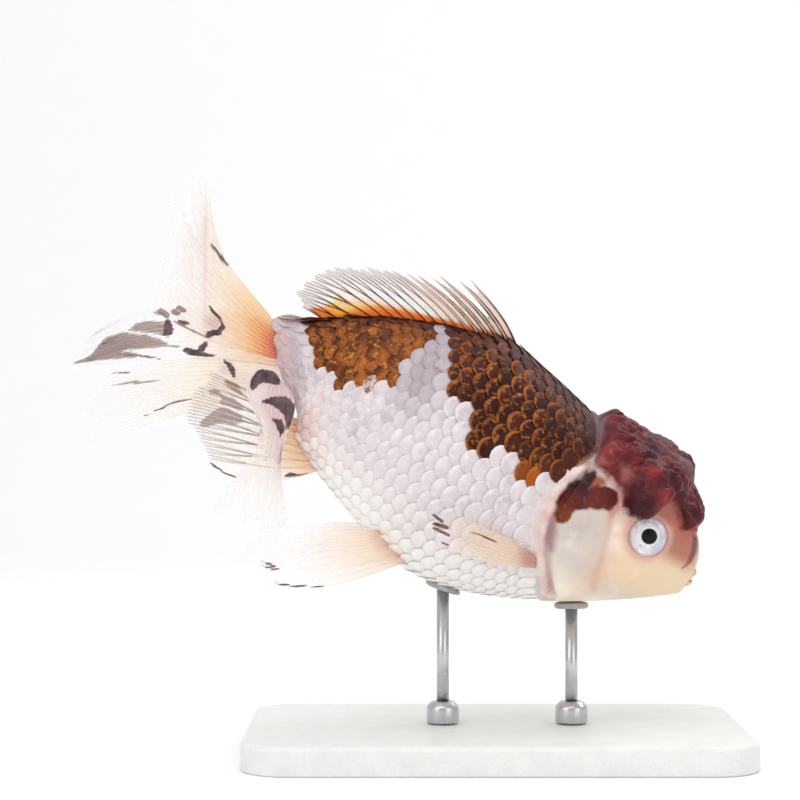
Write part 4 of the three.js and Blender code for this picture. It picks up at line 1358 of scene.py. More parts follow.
def fin_sheet(name, root, rays, side, look, material):
    """One closed fin, with the grid of (u, v, along, up, rod) that its markings are worked out from."""
    rows, columns = look["rows"], (look["rays"] - 1) * look.get("columns", COLUMNS_PER_RAY)
    u = np.linspace(0, 1, columns + 1)
    steps = np.linspace(-FIN_BURY / rays[0][1], 1, rows + 1)[:, None]
    rod = ray_profile(u[None], steps, look)
    v = steps * (1 - (1 - fin_reach(u, look)) * smooth(0, 1, steps))
    middle = fin_points(root, rays, side, u, v)
    facing = np.cross(np.gradient(middle, axis=0), np.gradient(middle, axis=1))
    facing /= np.linalg.norm(facing, axis=-1, keepdims=True) + 1e-9
    outer = np.clip(v, 0, 1)
    count, height = look["ripple"]
    wave = np.sin(2 * pi * (count * u + 0.6 * v) + look["seed"])
    wave = wave + 0.5 * np.sin(2 * pi * (2.3 * count * u - 0.9 * v) + 2.0 * look["seed"])
    middle = middle + facing * (height * wave * outer**1.6)[..., None]
    half = mix(0.15, 0.09, outer) + look.get("relief", 1) * mix(0.28, 0.03, outer**0.5) * rod
    half = half * (1 - 0.55 * smooth(0.92, 1, steps))
    faces_of_film = [middle + facing * half[..., None], middle - facing * half[..., None]]
    vertices = np.vstack([face.reshape(-1, 3) for face in faces_of_film])
    faces, rim_count = sheet_faces(rows, columns)
    made = mesh_object(name, to_world(vertices), faces.tolist(), material)
    total = u.size * (rows + 1)
    flat_u = np.tile(u, 2 * (rows + 1))
    flat_v = np.tile(np.repeat(np.linspace(0, 1, rows + 1), u.size), 2)
    spots = np.stack([0.49 * flat_u + 0.5 * np.repeat([0, 1], total), flat_v], -1)
    corners = loop_vertices(made)
    corners[-4 * rim_count:] %= total
    lay_flat(made, spots[corners])
    face_outwards(made)
    store(made, "rod", np.tile(rod.reshape(-1), 2))
    store(made, "outwards", np.tile(v.reshape(-1), 2))
    return made, (u + 0 * v, v, middle[..., 0], middle[..., 2], rod)


print("fins are buried", FIN_BURY, "mm deep in the body")

# %% [markdown]
# Each fin gets its markings the way the skin did, as numbers stored at its points. Ink and smoke are bars,
# in millimetres of the fish's side view. The rest are shares from 0 to 1: peach, orange, rosy red, lilac,
# how much the film hides, and how stiff and dark-lined the rays are. Every fin stands for one solid of the
# frame.

# %% Fins and their marks
def make_fin(node, slot_name, root, rays, side, look, material):
    """A fin that stands for the frame's node of that name."""
    made, grid = fin_sheet("soft_" + node, root, rays, side, look, material)
    PIECES.append((made, slot_name, [node]))
    return made, grid


def mark_fin(made, grid, ink=(), smoke=(), **shares):
    """Store a fin's markings: ink and smoke as bars, and any other share as one number for each point."""
    u, v, along, up, rod = grid
    fin_marks = {"ink": inside_bars(along, up, ink), "smoke": inside_bars(along, up, smoke)}
    for share_name in ("peach", "orange", "rosy", "lilac", "show", "stiff"):
        fin_marks[share_name] = np.broadcast_to(shares.get(share_name, 0), u.shape)
    for mark_name, values in fin_marks.items():
        store(made, mark_name, np.tile(values.reshape(-1), 2))
    print(made.name, len(made.data.polygons), "faces")


print("a fin can carry ink, smoke and six shares")

# %% [markdown]
# Three finishes cover all fins. The film takes its colour from the shares stored on each fin. Ink follows
# the rays, so its edges are stretched into fine stripes by the rods. How much the film hides is stored as
# well: near the tips it is almost clear. The shader's own opacity takes that, not a glass shader, because
# film this thin doesn't bend light.

# %% Fin finishes
def fin_finish(name, peach, orange, ray_colour, ray_line, film_colour, line_share, line_hide):
    film = Finish(name)
    fine, medium = film.noise(1500, 3), film.noise(420, 3)
    on_rod = film.fade("rod", 0.35, 0.8)
    stiff_core = film.times(on_rod, "stiff")
    beside_rod = film.times(film.fade("rod", 0.04, 0.2), film.fade("rod", 0.95, 0.76))
    on_soft_rod = film.maths("SUBTRACT", film.fade("rod", 0.45, 0.85), "stiff")
    lines = film.maths("MAXIMUM", film.times(beside_rod, "stiff"), on_soft_rod)
    broken = film.fade(medium, -0.3, 0.1, 0.75 * line_share, line_share)
    fading_out = film.times(broken, film.fade("outwards", 0.3, 1, 1, 0.6))
    lines = film.times(film.maths("MAXIMUM", lines, 0), fading_out)
    grain = film.sum(medium, film.maths("SUBTRACT", "rod", 0.4), 0.45)
    smoke = film.fade(film.sum("smoke", grain, 0.9), -0.1, 0.25)
    ink = film.fade(film.sum("ink", grain, 0.5), -0.08, 0.12)
    colour = film.layers(
        film_colour,
        (film.fade(medium, -0.2, 0.2, 0, 0.5), (255, 250, 248)),
        ("peach", peach),
        ("orange", orange),
        ("lilac", (206, 172, 176)),
        ("rosy", (214, 96, 96)),
        (on_rod, 0.2, ray_colour),
        (stiff_core, (236, 198, 176)),
        (lines, ray_line),
        (smoke, film.blend(film.fade("rod", 0.2, 0.7), (168, 148, 142), (118, 98, 96))),
        (ink, film.blend(film.fade(medium, -0.2, 0.2), (56, 45, 52), (100, 82, 89))),
    )
    hide = film.times("show", film.sum(0.9, on_rod, 0.35))
    for share, most in ((lines, line_hide), (stiff_core, 0.7), (smoke, 0.62), (ink, 0.9)):
        hide = film.maths("MAXIMUM", hide, film.times(share, most))
    film.set(base_color=colour, alpha=film.maths("MINIMUM", hide, 1), specular=0.15)
    film.set(roughness=film.fade(medium, -0.3, 0.3, 0.36, 0.52), coat=0.05, coat_roughness=0.2)
    film.set(subsurface=0.6, subsurface_scale=1.5 * MM, subsurface_radius=(1, 0.8, 0.7))
    rungs = film.times(film.maths("SINE", film.times("outwards", 260)), "rod")
    film.bump(film.sum(film.sum(fine, "rod", 0.6), rungs, 0.3), 0.2, 0.06 * MM)
    return film.material


pale_film = fin_finish(
    "pale_fin_film", peach=(255, 214, 170), orange=(244, 158, 84), ray_colour=(254, 238, 226),
    ray_line=(226, 198, 186), film_colour=(255, 246, 242), line_share=0.3, line_hide=0.25)
dark_film = fin_finish(
    "dark_fin_film", peach=(255, 192, 62), orange=(222, 112, 36), ray_colour=(246, 216, 200),
    ray_line=(44, 28, 32), film_colour=(232, 216, 210), line_share=1, line_hide=0.9)
brown_film = fin_finish(
    "brown_fin_film", peach=(255, 224, 196), orange=(244, 158, 84), ray_colour=(250, 232, 220),
    ray_line=(98, 80, 74), film_colour=(250, 238, 230), line_share=1, line_hide=0.75)
print("three fin finishes")

# %% [markdown]
# Now the fins one by one, each with its root, a line of points (along, out, up), and its key rays.
# The back fin's front rays are the tallest and hardest; they sweep back and end in free points with deep
# gaps between, while the rear rays branch into a soft wispy edge. Each ray has dark lines along its rod.
# The film glows orange low down over the rear half, and the front rays are reddish at their feet.

# %% Back fin
back_places = np.array([44.2, 38, 32, 26, 20, 14, 7.5])
back_levels = body_point(back_places, 0)[:, 2] - 0.6
DORSAL_ROOT = np.stack([back_places, 0 * back_places, back_levels], -1)
DORSAL_RAYS = [
    [0, 18.8, [44, 24, 14], [0, 0, 0]], [0.1, 19.6, [34, 18, 10], [0, 1, 1]],
    [0.45, 19, [22, 11, 3], [0, -1, -2]], [0.75, 17.6, [11, 5, -3], [0, 1, 3]],
    [0.9, 13.4, [2, -5, -11], [0, 1, 3]], [1, 7.2, [10, 5, 2], [0, 0, 0]],
]
DORSAL_LOOK = {
    "rays": 18, "rows": 60, "columns": 24, "splits": (0.3, 0.55), "seed": 3, "unsplit": (0.22, 0.42),
    "first_width": 0.2, "ragged": 0.05, "scallop": 0.08, "ripple": (2.5, 0.15),
    "notch": ([0, 0.06, 0.14, 0.3, 0.45, 0.7, 1], [0.2, 0.24, 0.2, 0.16, 0.08, 0.05, 0.04]),
    "cuts": [(0.088, 0.024, 0.42), (0.2, 0.026, 0.32), (0.32, 0.028, 0.2)],
}
GLOW_HEIGHT = ([1.5, 4, 6.2, 9.3, 15, 20.6, 26, 42], [0.3, 2.8, 7.4, 6.6, 3.8, 2.2, 1.3, 0.9])
fin, grid = make_fin("dorsal_fin", "dark_fin", DORSAL_ROOT, DORSAL_RAYS, 1, DORSAL_LOOK, dark_film)
u, v, along, up, rod = grid
above_back = up - np.interp(along, DORSAL_ROOT[::-1, 0], DORSAL_ROOT[::-1, 2]) - 0.6
glow = below(0.4, 1.25, above_back / np.interp(along, *GLOW_HEIGHT) / (0.8 + 0.5 * rod))
front = below(0.3, 0.5, u)
red_feet = below(0.08, 0.25, u) * below(0.05, 0.3, v) * 0.7
mark_fin(
    fin, grid,
    orange=glow * mix(1, 0.1, smooth(0.2, 0.8, above_back / 5) * below(14, 22, along)),
    stiff=below(0.22, 0.42, u),
    rosy=np.maximum(red_feet, 0.16 * front),
    peach=np.maximum(glow, 0.35 * below(0.3, 0.9, v) * front),
    lilac=0.7 * front * smooth(0.25, 0.8, v),
    show=mix(0.2, 0.1, smooth(0.1, 0.9, v)) + 0.14 * (1 - front) + 0.8 * glow + 0.42 * front * (1 - 0.4 * v),
)

# %% [markdown]
# The tail of a fancy goldfish is doubled: two upper and two lower lobes, long and soft. The near upper lobe
# stands up and folds over itself, so its outer half hangs like a ribbon. Near the root the film is orange
# and red; further out it turns peach and then almost white. Ink-dark marks cross the lobes here and there.

# %% Near upper tail lobe
UPPER_RIGHT_ROOT = [[-3.4, 0.9, 4.9], [-1.9, 1.8, 1.2], [-0.4, 2.4, -2.2]]
UPPER_RIGHT_RAYS = [
    [0, 32, [22, 22, 46, 62], [6, 10, 18, 10]], [0.25, 37, [15, 26, 42, 56], [12, 20, 10, -14]],
    [0.5, 37, [8, 16, 30, 46], [18, 28, 4, -24]], [0.75, 31, [0, 6, 16, 24], [24, 32, 6, -16]],
    [1, 29, [-16, -12, -2, 8], [30, 36, 14, -6]],
]
TAIL_LOOK = {
    "rays": 13, "rows": 78, "splits": (0.3, 0.62), "ragged": 0.05, "relief": 0.5,
    "notch": ([0, 1], [0.04, 0.04]), "ripple": (2, 0.2),
}
UPPER_RIGHT_LOOK = {
    **TAIL_LOOK, "seed": 7, "cuts": [(0.37, 0.05, 0.26), (0.62, 0.04, 0.16)], "ripple": (2, 0.15),
}
fin, grid = make_fin(
    "tail_upper_right", "pale_fin", UPPER_RIGHT_ROOT, UPPER_RIGHT_RAYS, -1, UPPER_RIGHT_LOOK,
    pale_film)
u, v, along, up, rod = grid
near_root = below(0, 0.28, v)
behind_root = -(along * cos(NOSE_DOWN) + up * sin(NOSE_DOWN))
ribbon = smooth(14.3, 14.8, behind_root)
ribbon_edge = bell(behind_root, 14.5, 0.35)
ring_fill = bell(along, -13.8, 1.6) * bell(up, -1.2, 1.7)
mark_fin(
    fin, grid,
    ink=[
        [(-22, 12.6, 0.2), (-19.9, 11.5, 0.34), (-17.6, 10.5, 0.3)],
        [(-16.1, 1.4, 0.2), (-14.9, 0.5, 0.35), (-13.1, -0.1, 0.25), (-11.8, -1, 0.35), (-12.1, -2.5, 0.7),
         (-13.4, -4, 0.7)],
        [(-11.8, -1, 0.1), (-9.7, -0.8, 0.08), (-7.9, -1, 0.04)],
        [(-19.9, -4.4, 0.25), (-19.1, -4.2, 0.4), (-18, -4, 0.25)],
    ],
    smoke=[
        [(-21.5, -3.2, 0.75), (-20.9, -2.4, 0.85), (-20, -1.7, 0.48)],
        [(-24, -4.6, 0.9), (-23.2, -4.9, 1.1)],
        [(-20.8, -4.9, 0.12), (-17.2, -5, 0.15), (-13.3, -4.7, 0.12)],
    ],
    peach=mix(1, 0.45, smooth(0.15, 0.6, v)) * (1 - 0.85 * ribbon),
    orange=(0.9 * near_root * smooth(0.05, 0.5, u) + 0.25 * below(0.1, 0.5, v)) * (1 - 0.9 * ribbon),
    rosy=0.8 * below(-0.02, 0.11, v) * smooth(0.1, 0.6, u),
    lilac=np.clip(0.14 * ribbon + 0.45 * ribbon_edge + 1.1 * ring_fill, 0, 1),
    show=mix(0.72, 0.5, smooth(0.1, 0.5, v)) - 0.44 * smooth(0.62, 1, v)
    + (0.2 * ribbon_edge + 0.1 * ribbon) * below(0.65, 0.9, v) + 0.3 * ring_fill,
)

# %% [markdown]
# The far upper lobe hangs behind the near one, so it shows mostly as veils of smoke with a few ink marks.

# %% Far upper tail lobe
UPPER_LEFT_ROOT = [[-3.4, 0.9, 4.7], [-1.9, 1.8, 1.2], [0.6, 2.4, -3.4]]
UPPER_LEFT_RAYS = [
    [0, 44, [-12, -22, -36, -66], [10, 18, 24, 10]], [0.5, 48, [-20, -24, -36, -54], [22, 30, 20, 4]],
    [1, 49, [-19, -25, -32, -36], [32, 38, 22, 4]],
]
UPPER_LEFT_LOOK = {**TAIL_LOOK, "seed": 13, "cuts": [(0.47, 0.05, 0.1)]}
fin, grid = make_fin(
    "tail_upper_left", "pale_fin", UPPER_LEFT_ROOT, UPPER_LEFT_RAYS, 1, UPPER_LEFT_LOOK, pale_film)
u, v, along, up, rod = grid
mark_fin(
    fin, grid,
    ink=[
        [(-14.9, -6.3, 0.5), (-15.3, -7.4, 0.8), (-15.8, -8.5, 0.5)],
        [(-24.3, -6.3, 0.8), (-23.7, -7.6, 1.1), (-24.3, -9.3, 0.15)],
        [(-18.4, -9.6, 0.7), (-16.2, -9.2, 0.65), (-13.9, -8.4, 0.5), (-12.2, -7.8, 0.3)],
        [(-32.1, -17.9, 0.1), (-27.5, -15.8, 0.16), (-23, -14.1, 0.08)],
    ],
    smoke=[
        [(-27.8, -5.7, 0.2), (-26.9, -5.3, 0.44), (-25.6, -5, 0.27)],
        [(-39.2, -24, 0.2), (-36.7, -21.6, 0.5), (-34.5, -19.7, 0.8), (-32.1, -17.9, 0.9),
         (-28, -16, 0.5)],
        [(-31.3, -11.7, 0.27), (-29.8, -10.3, 0.88), (-28.3, -9.3, 1.22), (-26.5, -8.5, 1.36),
         (-24, -7.6, 1.5)],
        [(-37.3, -22.2, 0.2), (-35.6, -19.6, 0.88), (-34, -16.9, 1.7), (-31.3, -14.3, 1.87),
         (-27.4, -12.4, 1.5), (-24.7, -11.2, 0.88), (-22.6, -10.6, 0.34), (-19.1, -9.6, 0.17)],
    ],
    peach=mix(0.8, 0.12, smooth(0.1, 0.7, v)),
    orange=0.5 * below(0, 0.25, v),
    lilac=0.2,
    show=mix(0.55, 0.05, smooth(0.1, 0.6, v)),
)

# %% [markdown]
# The two lower lobes share one root under the stalk. The far one streams out behind the fish. The near one
# turns back below the stalk, where it lies close to the body and shows a cluster of dark blots.

# %% Lower tail lobes
LOWER_ROOT = [[0.6, 2.4, -3.4], [2, 2.6, -4.4], [3.6, 2.6, -5.6]]
LOWER_LEFT_RAYS = [
    [0, 40, [-18, -24, -32, -48], [34, 34, 20, 4]], [0.5, 50, [-38, -35, -36, -46], [40, 36, 24, 6]],
    [1, 54, [-50, -44, -46, -48], [46, 36, 26, 10]],
]
LOWER_RIGHT_RAYS = [
    [0, 39, [-23, -146, -83, -86], [24, 30, 12, 0]], [0.5, 35, [-80, -136, -97, -107], [30, 34, 2, -10]],
    [1, 35, [-184, -100, -122, -130], [34, 34, -12, -20]],
]
fin, grid = make_fin(
    "tail_lower_left", "pale_fin", LOWER_ROOT, LOWER_LEFT_RAYS, 1, {**TAIL_LOOK, "seed": 17}, pale_film)
u, v, along, up, rod = grid
mark_fin(
    fin, grid,
    ink=[
        [(-9.6, -7.6, 0.3), (-8.2, -7.9, 0.6), (-7.2, -8.5, 0.75), (-6.3, -9.4, 0.4)],
        [(-20.6, -27.2, 0.1), (-15.9, -21.2, 0.16), (-12.6, -18.6, 0.1)],
        [(-31.2, -22.3, 0.06), (-29.5, -21.2, 0.14), (-27.4, -20, 0.08)],
    ],
    smoke=[[(-30.1, -24.6, 0.1), (-26, -21.7, 0.2), (-21, -18.6, 0.1)]],
    peach=mix(0.7, 0.15, smooth(0.2, 0.8, v)),
    rosy=0.12 * smooth(0.5, 0.7, v) * bell(u, 0.4, 0.25),
    lilac=0.8 * bell(along, -8.6, 1.5) * bell(up, -9.3, 1.3),
    show=mix(0.45, 0.05, smooth(0.3, 0.95, v)),
)

LOWER_RIGHT_LOOK = {
    **TAIL_LOOK, "seed": 23, "rows": 70, "relief": 0.3, "ripple": (1.5, 0.08), "cuts": [(0.3, 0.06, 0.12)],
}
fin, grid = make_fin(
    "tail_lower_right", "pale_fin", LOWER_ROOT, LOWER_RIGHT_RAYS, -1, LOWER_RIGHT_LOOK, pale_film)
u, v, along, up, rod = grid
mark_fin(
    fin, grid,
    ink=[
        [(-0.6, -9.3, 0.6), (-0.8, -8, 1.1), (-0.4, -6.4, 1.4), (1.4, -5.8, 1.4), (2.9, -6, 0.9),
         (3.8, -6.1, 0.3)],
        [(2.8, -10.8, 0.34), (4.5, -9.8, 1), (6.8, -9.3, 1.6), (8.6, -9.9, 1.6), (9.6, -11.7, 0.82),
         (9.8, -13.2, 0.27)],
        [(6.5, -13, 0.24), (7.9, -13.1, 0.85), (9.1, -14.1, 0.8), (9.5, -15.5, 0.2)],
    ],
    lilac=mix(0.9, 0.1, smooth(0.3, 0.85, v)) * mix(0.45, 1, smooth(0.2, 0.7, u)),
    peach=0.15 * smooth(0.4, 0.8, v),
    show=mix(0.8, 0.1, smooth(0.4, 0.95, v)) * mix(0.75, 1, smooth(0.3, 0.8, u))
    * below(-5.2, -4.5, up),
)

# %% [markdown]
# Below the tail root hang two short anal fins, made in the same way. The near one is peach at its root, with
# two small ink marks; the far one carries a fan of fine brown lines between dusky patches.

# %% Anal fins
ANAL_RIGHT_ROOT = [[9, 1.6, -11], [14, 2, -15.2], [19.5, 2, -18.2]]
ANAL_RIGHT_RAYS = [
    [0, 18, [-8, 0, 4], [10, 12, 6]], [0.5, 24, [-22, -14, -8], [14, 14, 6]],
    [1, 24, [-48, -30, -4], [18, 14, 6]],
]
ANAL_LEFT_ROOT = [[9, 1.6, -11], [14, 2, -15.2], [19, 2, -18]]
ANAL_LEFT_RAYS = [
    [0, 20, [4, 2, -6], [12, 16, 8]], [0.5, 27, [-8, -12, -18], [16, 18, 8]],
    [1, 25, [-30, -26, -14], [20, 18, 8]],
]
ANAL_LOOK = {
    "rays": 9, "rows": 48, "splits": (0.3, 0.55), "ragged": 0.04,
    "notch": ([0, 1], [0.06, 0.06]), "ripple": (1.5, 0.1),
}
fin, grid = make_fin(
    "anal_fin_right", "dark_fin", ANAL_RIGHT_ROOT, ANAL_RIGHT_RAYS, -1, {**ANAL_LOOK, "seed": 29}, pale_film)
u, v, along, up, rod = grid
mark_fin(
    fin, grid,
    ink=[
        [(14, -22.4, 0.24), (14.9, -21.5, 0.55), (16.1, -21, 0.24), (17.8, -19.7, 0.1)],
        [(-0.8, -27.2, 0.1), (0.9, -27.4, 0.15), (2.8, -27.6, 0.14), (5.3, -27.3, 0.12)],
    ],
    peach=mix(1, 0.1, smooth(0.1, 0.5, v)),
    orange=0.35 * below(0, 0.3, v)
    + 0.5 * bell(along, 11.5, 1.8) * bell(up, -12, 2.4),
    rosy=0.5 * below(-0.02, 0.07, v) * smooth(0.3, 0.6, u),
    show=mix(0.5, 0.05, smooth(0.12, 0.5, v)),
)
FAR_ANAL_LOOK = {
    **ANAL_LOOK, "rays": 8, "columns": 30, "seed": 31, "relief": 0.3, "notch": ([0, 1], [0.14, 0.1]),
}
fin, grid = make_fin(
    "anal_fin_left", "dark_fin", ANAL_LEFT_ROOT, ANAL_LEFT_RAYS, 1, FAR_ANAL_LOOK, brown_film)
u, v, along, up, rod = grid
mark_fin(
    fin, grid,
    smoke=[
        [(-6.4, -11.3, 0.6), (-4.9, -11.2, 0.8), (-2.8, -11.8, 0.5)],
        [(-9, -14.7, 0.4), (-7.9, -14.2, 0.6), (-6, -14.3, 0.4)],
        [(-5.3, -15.2, 0.9), (-3.8, -14.6, 1.3), (-1.9, -14.7, 1)],
        [(-6.9, -21.4, 0.9), (-5.4, -19.1, 1.6), (-3.5, -17.4, 1.7), (-0.8, -17.2, 1.1)],
    ],
    ink=[[(-0.6, -26.2, 0.05), (2.5, -24.7, 0.1), (6, -23.1, 0.08)]],
    peach=mix(0.3, 0.05, smooth(0.2, 0.6, v)),
    show=mix(0.45, 0.3, smooth(0.1, 0.7, v)),
)

# %% [markdown]
# The pelvic pair grows from the belly and trails back. The pectoral pair sits low behind the gill covers, and
# its outer film is nearly clear. A loop makes the right and the left fin; only the right ones carry ink.

# %% Pelvic and pectoral fins
PELVIC_ROOT = [[37, 9.5, -22.4], [40.5, 9, -24.4], [44.5, 8.5, -25.6]]
PELVIC_RIGHT_RAYS = [
    [0, 30, [-22, -34, -44], [22, 26, 10]], [0.5, 36, [-34, -38, -38], [26, 26, 12]],
    [1, 38, [-50, -38, -20], [30, 26, 14]],
]
PELVIC_LEFT_RAYS = [
    [0, 30, [-22, -34, -44], [22, 26, 10]], [0.5, 36, [-32, -36, -36], [26, 26, 12]],
    [1, 36, [-46, -36, -20], [30, 26, 14]],
]
PECTORAL_ROOT = [[65.2, 18.9, -11], [66, 18.4, -12.6], [66.8, 17.6, -14.2]]
PECTORAL_RAYS = [
    [0, 24, [4, -4, -10], [28, 20, 12]], [0.5, 23.5, [-8, -8, -10], [28, 22, 14]],
    [1, 20.5, [-24, -14, -6], [28, 24, 16]],
]
PELVIC_LOOK = {
    "rays": 9, "rows": 60, "splits": (0.28, 0.55), "ragged": 0.05,
    "notch": ([0, 1], [0.05, 0.05]), "ripple": (1.8, 0.15),
}
PECTORAL_LOOK = {**PELVIC_LOOK, "rays": 10, "rows": 48, "ripple": (1.5, 0.12), "relief": 0.4}
PELVIC_INK = [
    [(18.3, -38.7, 0.08), (20.4, -38.5, 0.16), (22.6, -38.6, 0.1)],
    [(19.1, -39.4, 0.08), (20.6, -39.2, 0.14), (21.8, -38.9, 0.08)],
    [(23.2, -41.2, 0.08), (26.4, -40.2, 0.17), (29.1, -38.9, 0.17), (31.9, -37.5, 0.1)],
]
PECTORAL_INK = [
    [(52.5, -13.4, 0.1), (54.4, -13, 0.17), (56.9, -12.9, 0.17), (59, -13, 0.08)],
    [(44.3, -13.9, 0.3), (46.3, -14.2, 0.3)], [(45.2, -15.3, 0.42), (47.8, -14.8, 0.34)],
    [(45.6, -16.1, 0.3), (48.9, -16, 0.2)], [(48.2, -17.9, 0.08), (49.8, -17.8, 0.1)],
]
for word, side, pelvic_rays in (("right", -1, PELVIC_RIGHT_RAYS), ("left", 1, PELVIC_LEFT_RAYS)):
    look = {**PELVIC_LOOK, "seed": 37 + side}
    fin, grid = make_fin("pelvic_fin_" + word, "pale_fin", PELVIC_ROOT, pelvic_rays, side, look, pale_film)
    u, v, along, up, rod = grid
    mark_fin(
        fin, grid, ink=PELVIC_INK if side < 0 else (),
        peach=mix(0.55, 0.15, smooth(0.05, 0.5, v)),
        rosy=0.3 * below(0, 0.16, v) + 0.06 * below(0.4, 0.8, v),
        orange=0.2 * below(0, 0.2, v) * below(0.2, 0.8, u),
        show=mix(0.55, 0.03, smooth(0.05, 0.75, v)),
    )
    look = {**PECTORAL_LOOK, "seed": 41 + side}
    fin, grid = make_fin(
        "pectoral_fin_" + word, "pale_fin", PECTORAL_ROOT, PECTORAL_RAYS, side, look, pale_film)
    u, v, along, up, rod = grid
    mark_fin(
        fin, grid, ink=PECTORAL_INK if side < 0 else (),
        peach=0.7,
        rosy=0.08 + 0.4 * below(0.03, 0.2, v),
        lilac=0.5 * below(0.03, 0.2, v),
        show=mix(0.6, 0, smooth(0.2, 0.95, v)) * smooth(-0.1, 0.3, u),
    )
print(len(PIECES), "pieces so far")

# %% [markdown]
# A goldfish eye is a ball under a clear bulging window. The iris is a nearly flat silver-white disc, and the
# pupil is a hole in it, with the round lens filling it from behind. A lathe profile gives the ball, its iris
# and the lens in one turned piece. The window is a second one, a thin clear dome just outside, so that
# highlights float above the iris as they do on a live eye.

# %% Eyes
EYE_SEGMENTS = 96
PUPIL_RADIUS = 1.62
PUPIL_SHIFT = (0.5, 0.4)
SPECK_PLACE, SPECK_SIZE = (-0.42, -2.25), 0.16
EYE_PROFILE = [
    (0.25, 4.02), (0.7, 3.96), (1.1, 3.84), (1.45, 3.66), (1.58, 3.5), (1.64, 3.44), (1.72, 3.5), (1.9, 3.56),
    (2.3, 3.55), (2.7, 3.48), (3.1, 3.36), (3.5, 3.16), (3.8, 2.92), (4, 2.66), (4.15, 2.3), (4.2, 1.6),
    (4, 0.6), (3.4, -0.4), (2.4, -1.1), (1, -1.5),
]
WINDOW_RADIUS = 4.62
WINDOW_THICKNESS = 0.12


def turned_eye_part(name, profile, side, material):
    """A closed form turned about the line through both eyes, from a profile of (radius, out) points."""
    turn = np.linspace(0, 2 * pi, EYE_SEGMENTS, endpoint=False)
    rings = []
    for radius, out in profile:
        to_pupil = 0.0 if out < 2 else 1.0 - radius / 4.2
        along = EYE_CENTRE[0] + to_pupil * PUPIL_SHIFT[0] + radius * np.cos(turn)
        up = EYE_CENTRE[2] + to_pupil * PUPIL_SHIFT[1] + radius * np.sin(turn)
        rings.append(np.stack([along, np.full(EYE_SEGMENTS, side * (EYE_CENTRE[1] + out)), up], -1))
    vertices, faces = closed_tube(rings)
    made = mesh_object(name, to_world(vertices), faces, material)
    ahead, above = vertices[:, 0] - EYE_CENTRE[0], vertices[:, 2] - EYE_CENTRE[2]
    store(made, "from_middle", [radius for radius, out in profile for _ in turn] + [0, 0])
    store(made, "ahead", ahead)
    store(made, "speck", bell(np.hypot(ahead - SPECK_PLACE[0], above - SPECK_PLACE[1]), 0, SPECK_SIZE))
    face_outwards(made)
    return made


eye_profile = curve_at(EYE_PROFILE, np.linspace(0, 1, 70))
window_reach = np.linspace(0.15, 4.08, 26)
outer_window = list(zip(window_reach, np.sqrt(WINDOW_RADIUS**2 - window_reach**2)))
inner_window = [(reach, out - WINDOW_THICKNESS) for reach, out in outer_window[::-1]]
print("the eye's profile has", len(eye_profile), "points, the window's", 2 * len(outer_window))

# %% [markdown]
# The iris is painted in layers like the skin, with a nearly black pupil and a few lilac speckles. Painted
# shade greys the rim of the ball and darkens its front side in grey lilac. The window is a simple mix of
# see-through and mirror, with more mirror where it is seen at a slant, as on any clear dome.

# %% Eye finishes
ball = Finish("silver_eye")
fine, medium = ball.noise(2400, 4), ball.noise(900, 3)
iris = ball.layers(
    ball.blend(ball.fade(medium, -0.1, 0.2), (248, 247, 250), (232, 228, 238)),
    (ball.fade(fine, 0.08, 0.22, 0, 0.6), (186, 178, 200)),
    # Painted shade: a greyer ring towards the rim of the ball.
    (ball.fade(ball.sum("from_middle", medium), 3, 3.9, 0, 0.9), (208, 186, 192)),
    # Painted shade: grey-lilac darkening towards the front of the eye.
    (ball.fade("ahead", 1.2, 3.8, 0, 0.45), (160, 160, 180)),
    ("speck", (60, 50, 60)),
)
around_pupil = ball.sum("from_middle", fine, 0.25)
outside_pupil = ball.fade(around_pupil, PUPIL_RADIUS - 0.04, PUPIL_RADIUS + 0.05)
ball.set(base_color=ball.blend(outside_pupil, (6, 8, 16), iris), specular=0.12)
ball.set(roughness=ball.fade("from_middle", 1.5, 1.7, 0.08, 0.32))
ball.bump(ball.sum(medium, fine, 0.6), 0.25, 0.05 * MM)

clear_window = Finish("clear_eye_window")
nodes, link = clear_window.tree.nodes, clear_window.tree.links.new
clear, shine = nodes.new("ShaderNodeBsdfTransparent"), nodes.new("ShaderNodeBsdfGlossy")
shine.inputs["Roughness"].default_value = 0.04
bend = nodes.new("ShaderNodeFresnel")
bend.inputs["IOR"].default_value = 1.16
both = nodes.new("ShaderNodeMixShader")
for socket, value in zip(both.inputs, (bend.outputs[0], clear.outputs[0], shine.outputs[0])):
    link(value, socket)
link(both.outputs[0], nodes["Material Output"].inputs["Surface"])

for word, side in (("right", -1), ("left", 1)):
    eye = turned_eye_part("eyeball_" + word, eye_profile, side, ball.material)
    PIECES.append((eye, "eye", ["eye_" + word]))
    window = turned_eye_part("eye_window_" + word, outer_window + inner_window, side, clear_window.material)
    PIECES.append((window, "eye", []))
    print(eye.name, len(eye.data.polygons), "faces;", window.name, len(window.data.polygons), "faces")

# %% [markdown]
# The stand is what a museum maker would use: a small satin plate, two thin steel rods in collars, and a felt
# pad on each, shaped to the belly it carries. Its pieces are turned or lofted from short profiles, with
# sizes read from the frame. Each finish has some grain, because a perfectly even surface looks like a
# drawing.

# %% Stand forms and finishes
STAND_SEGMENTS = 48


def circle(radius, level, middle):
    turn = np.linspace(0, 2 * pi, STAND_SEGMENTS, endpoint=False)
    x, y = middle[0] + radius * np.cos(turn), middle[1] + radius * np.sin(turn)
    return np.stack([x, y, 0 * turn + level], -1)


def lofted(name, rings, material, slot_name, node):
    """A closed piece from rings in world millimetres, which stands for one node of the frame."""
    vertices, faces = closed_tube(rings)
    made = mesh_object(name, vertices * MM, faces, material)
    face_outwards(made)
    PIECES.append((made, slot_name, [node]))
    print(name, len(faces), "faces")


def node_box(node):
    """Lowest and highest corner of a frame node, in millimetres."""
    low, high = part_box(node)
    return np.array(low) / MM, np.array(high) / MM


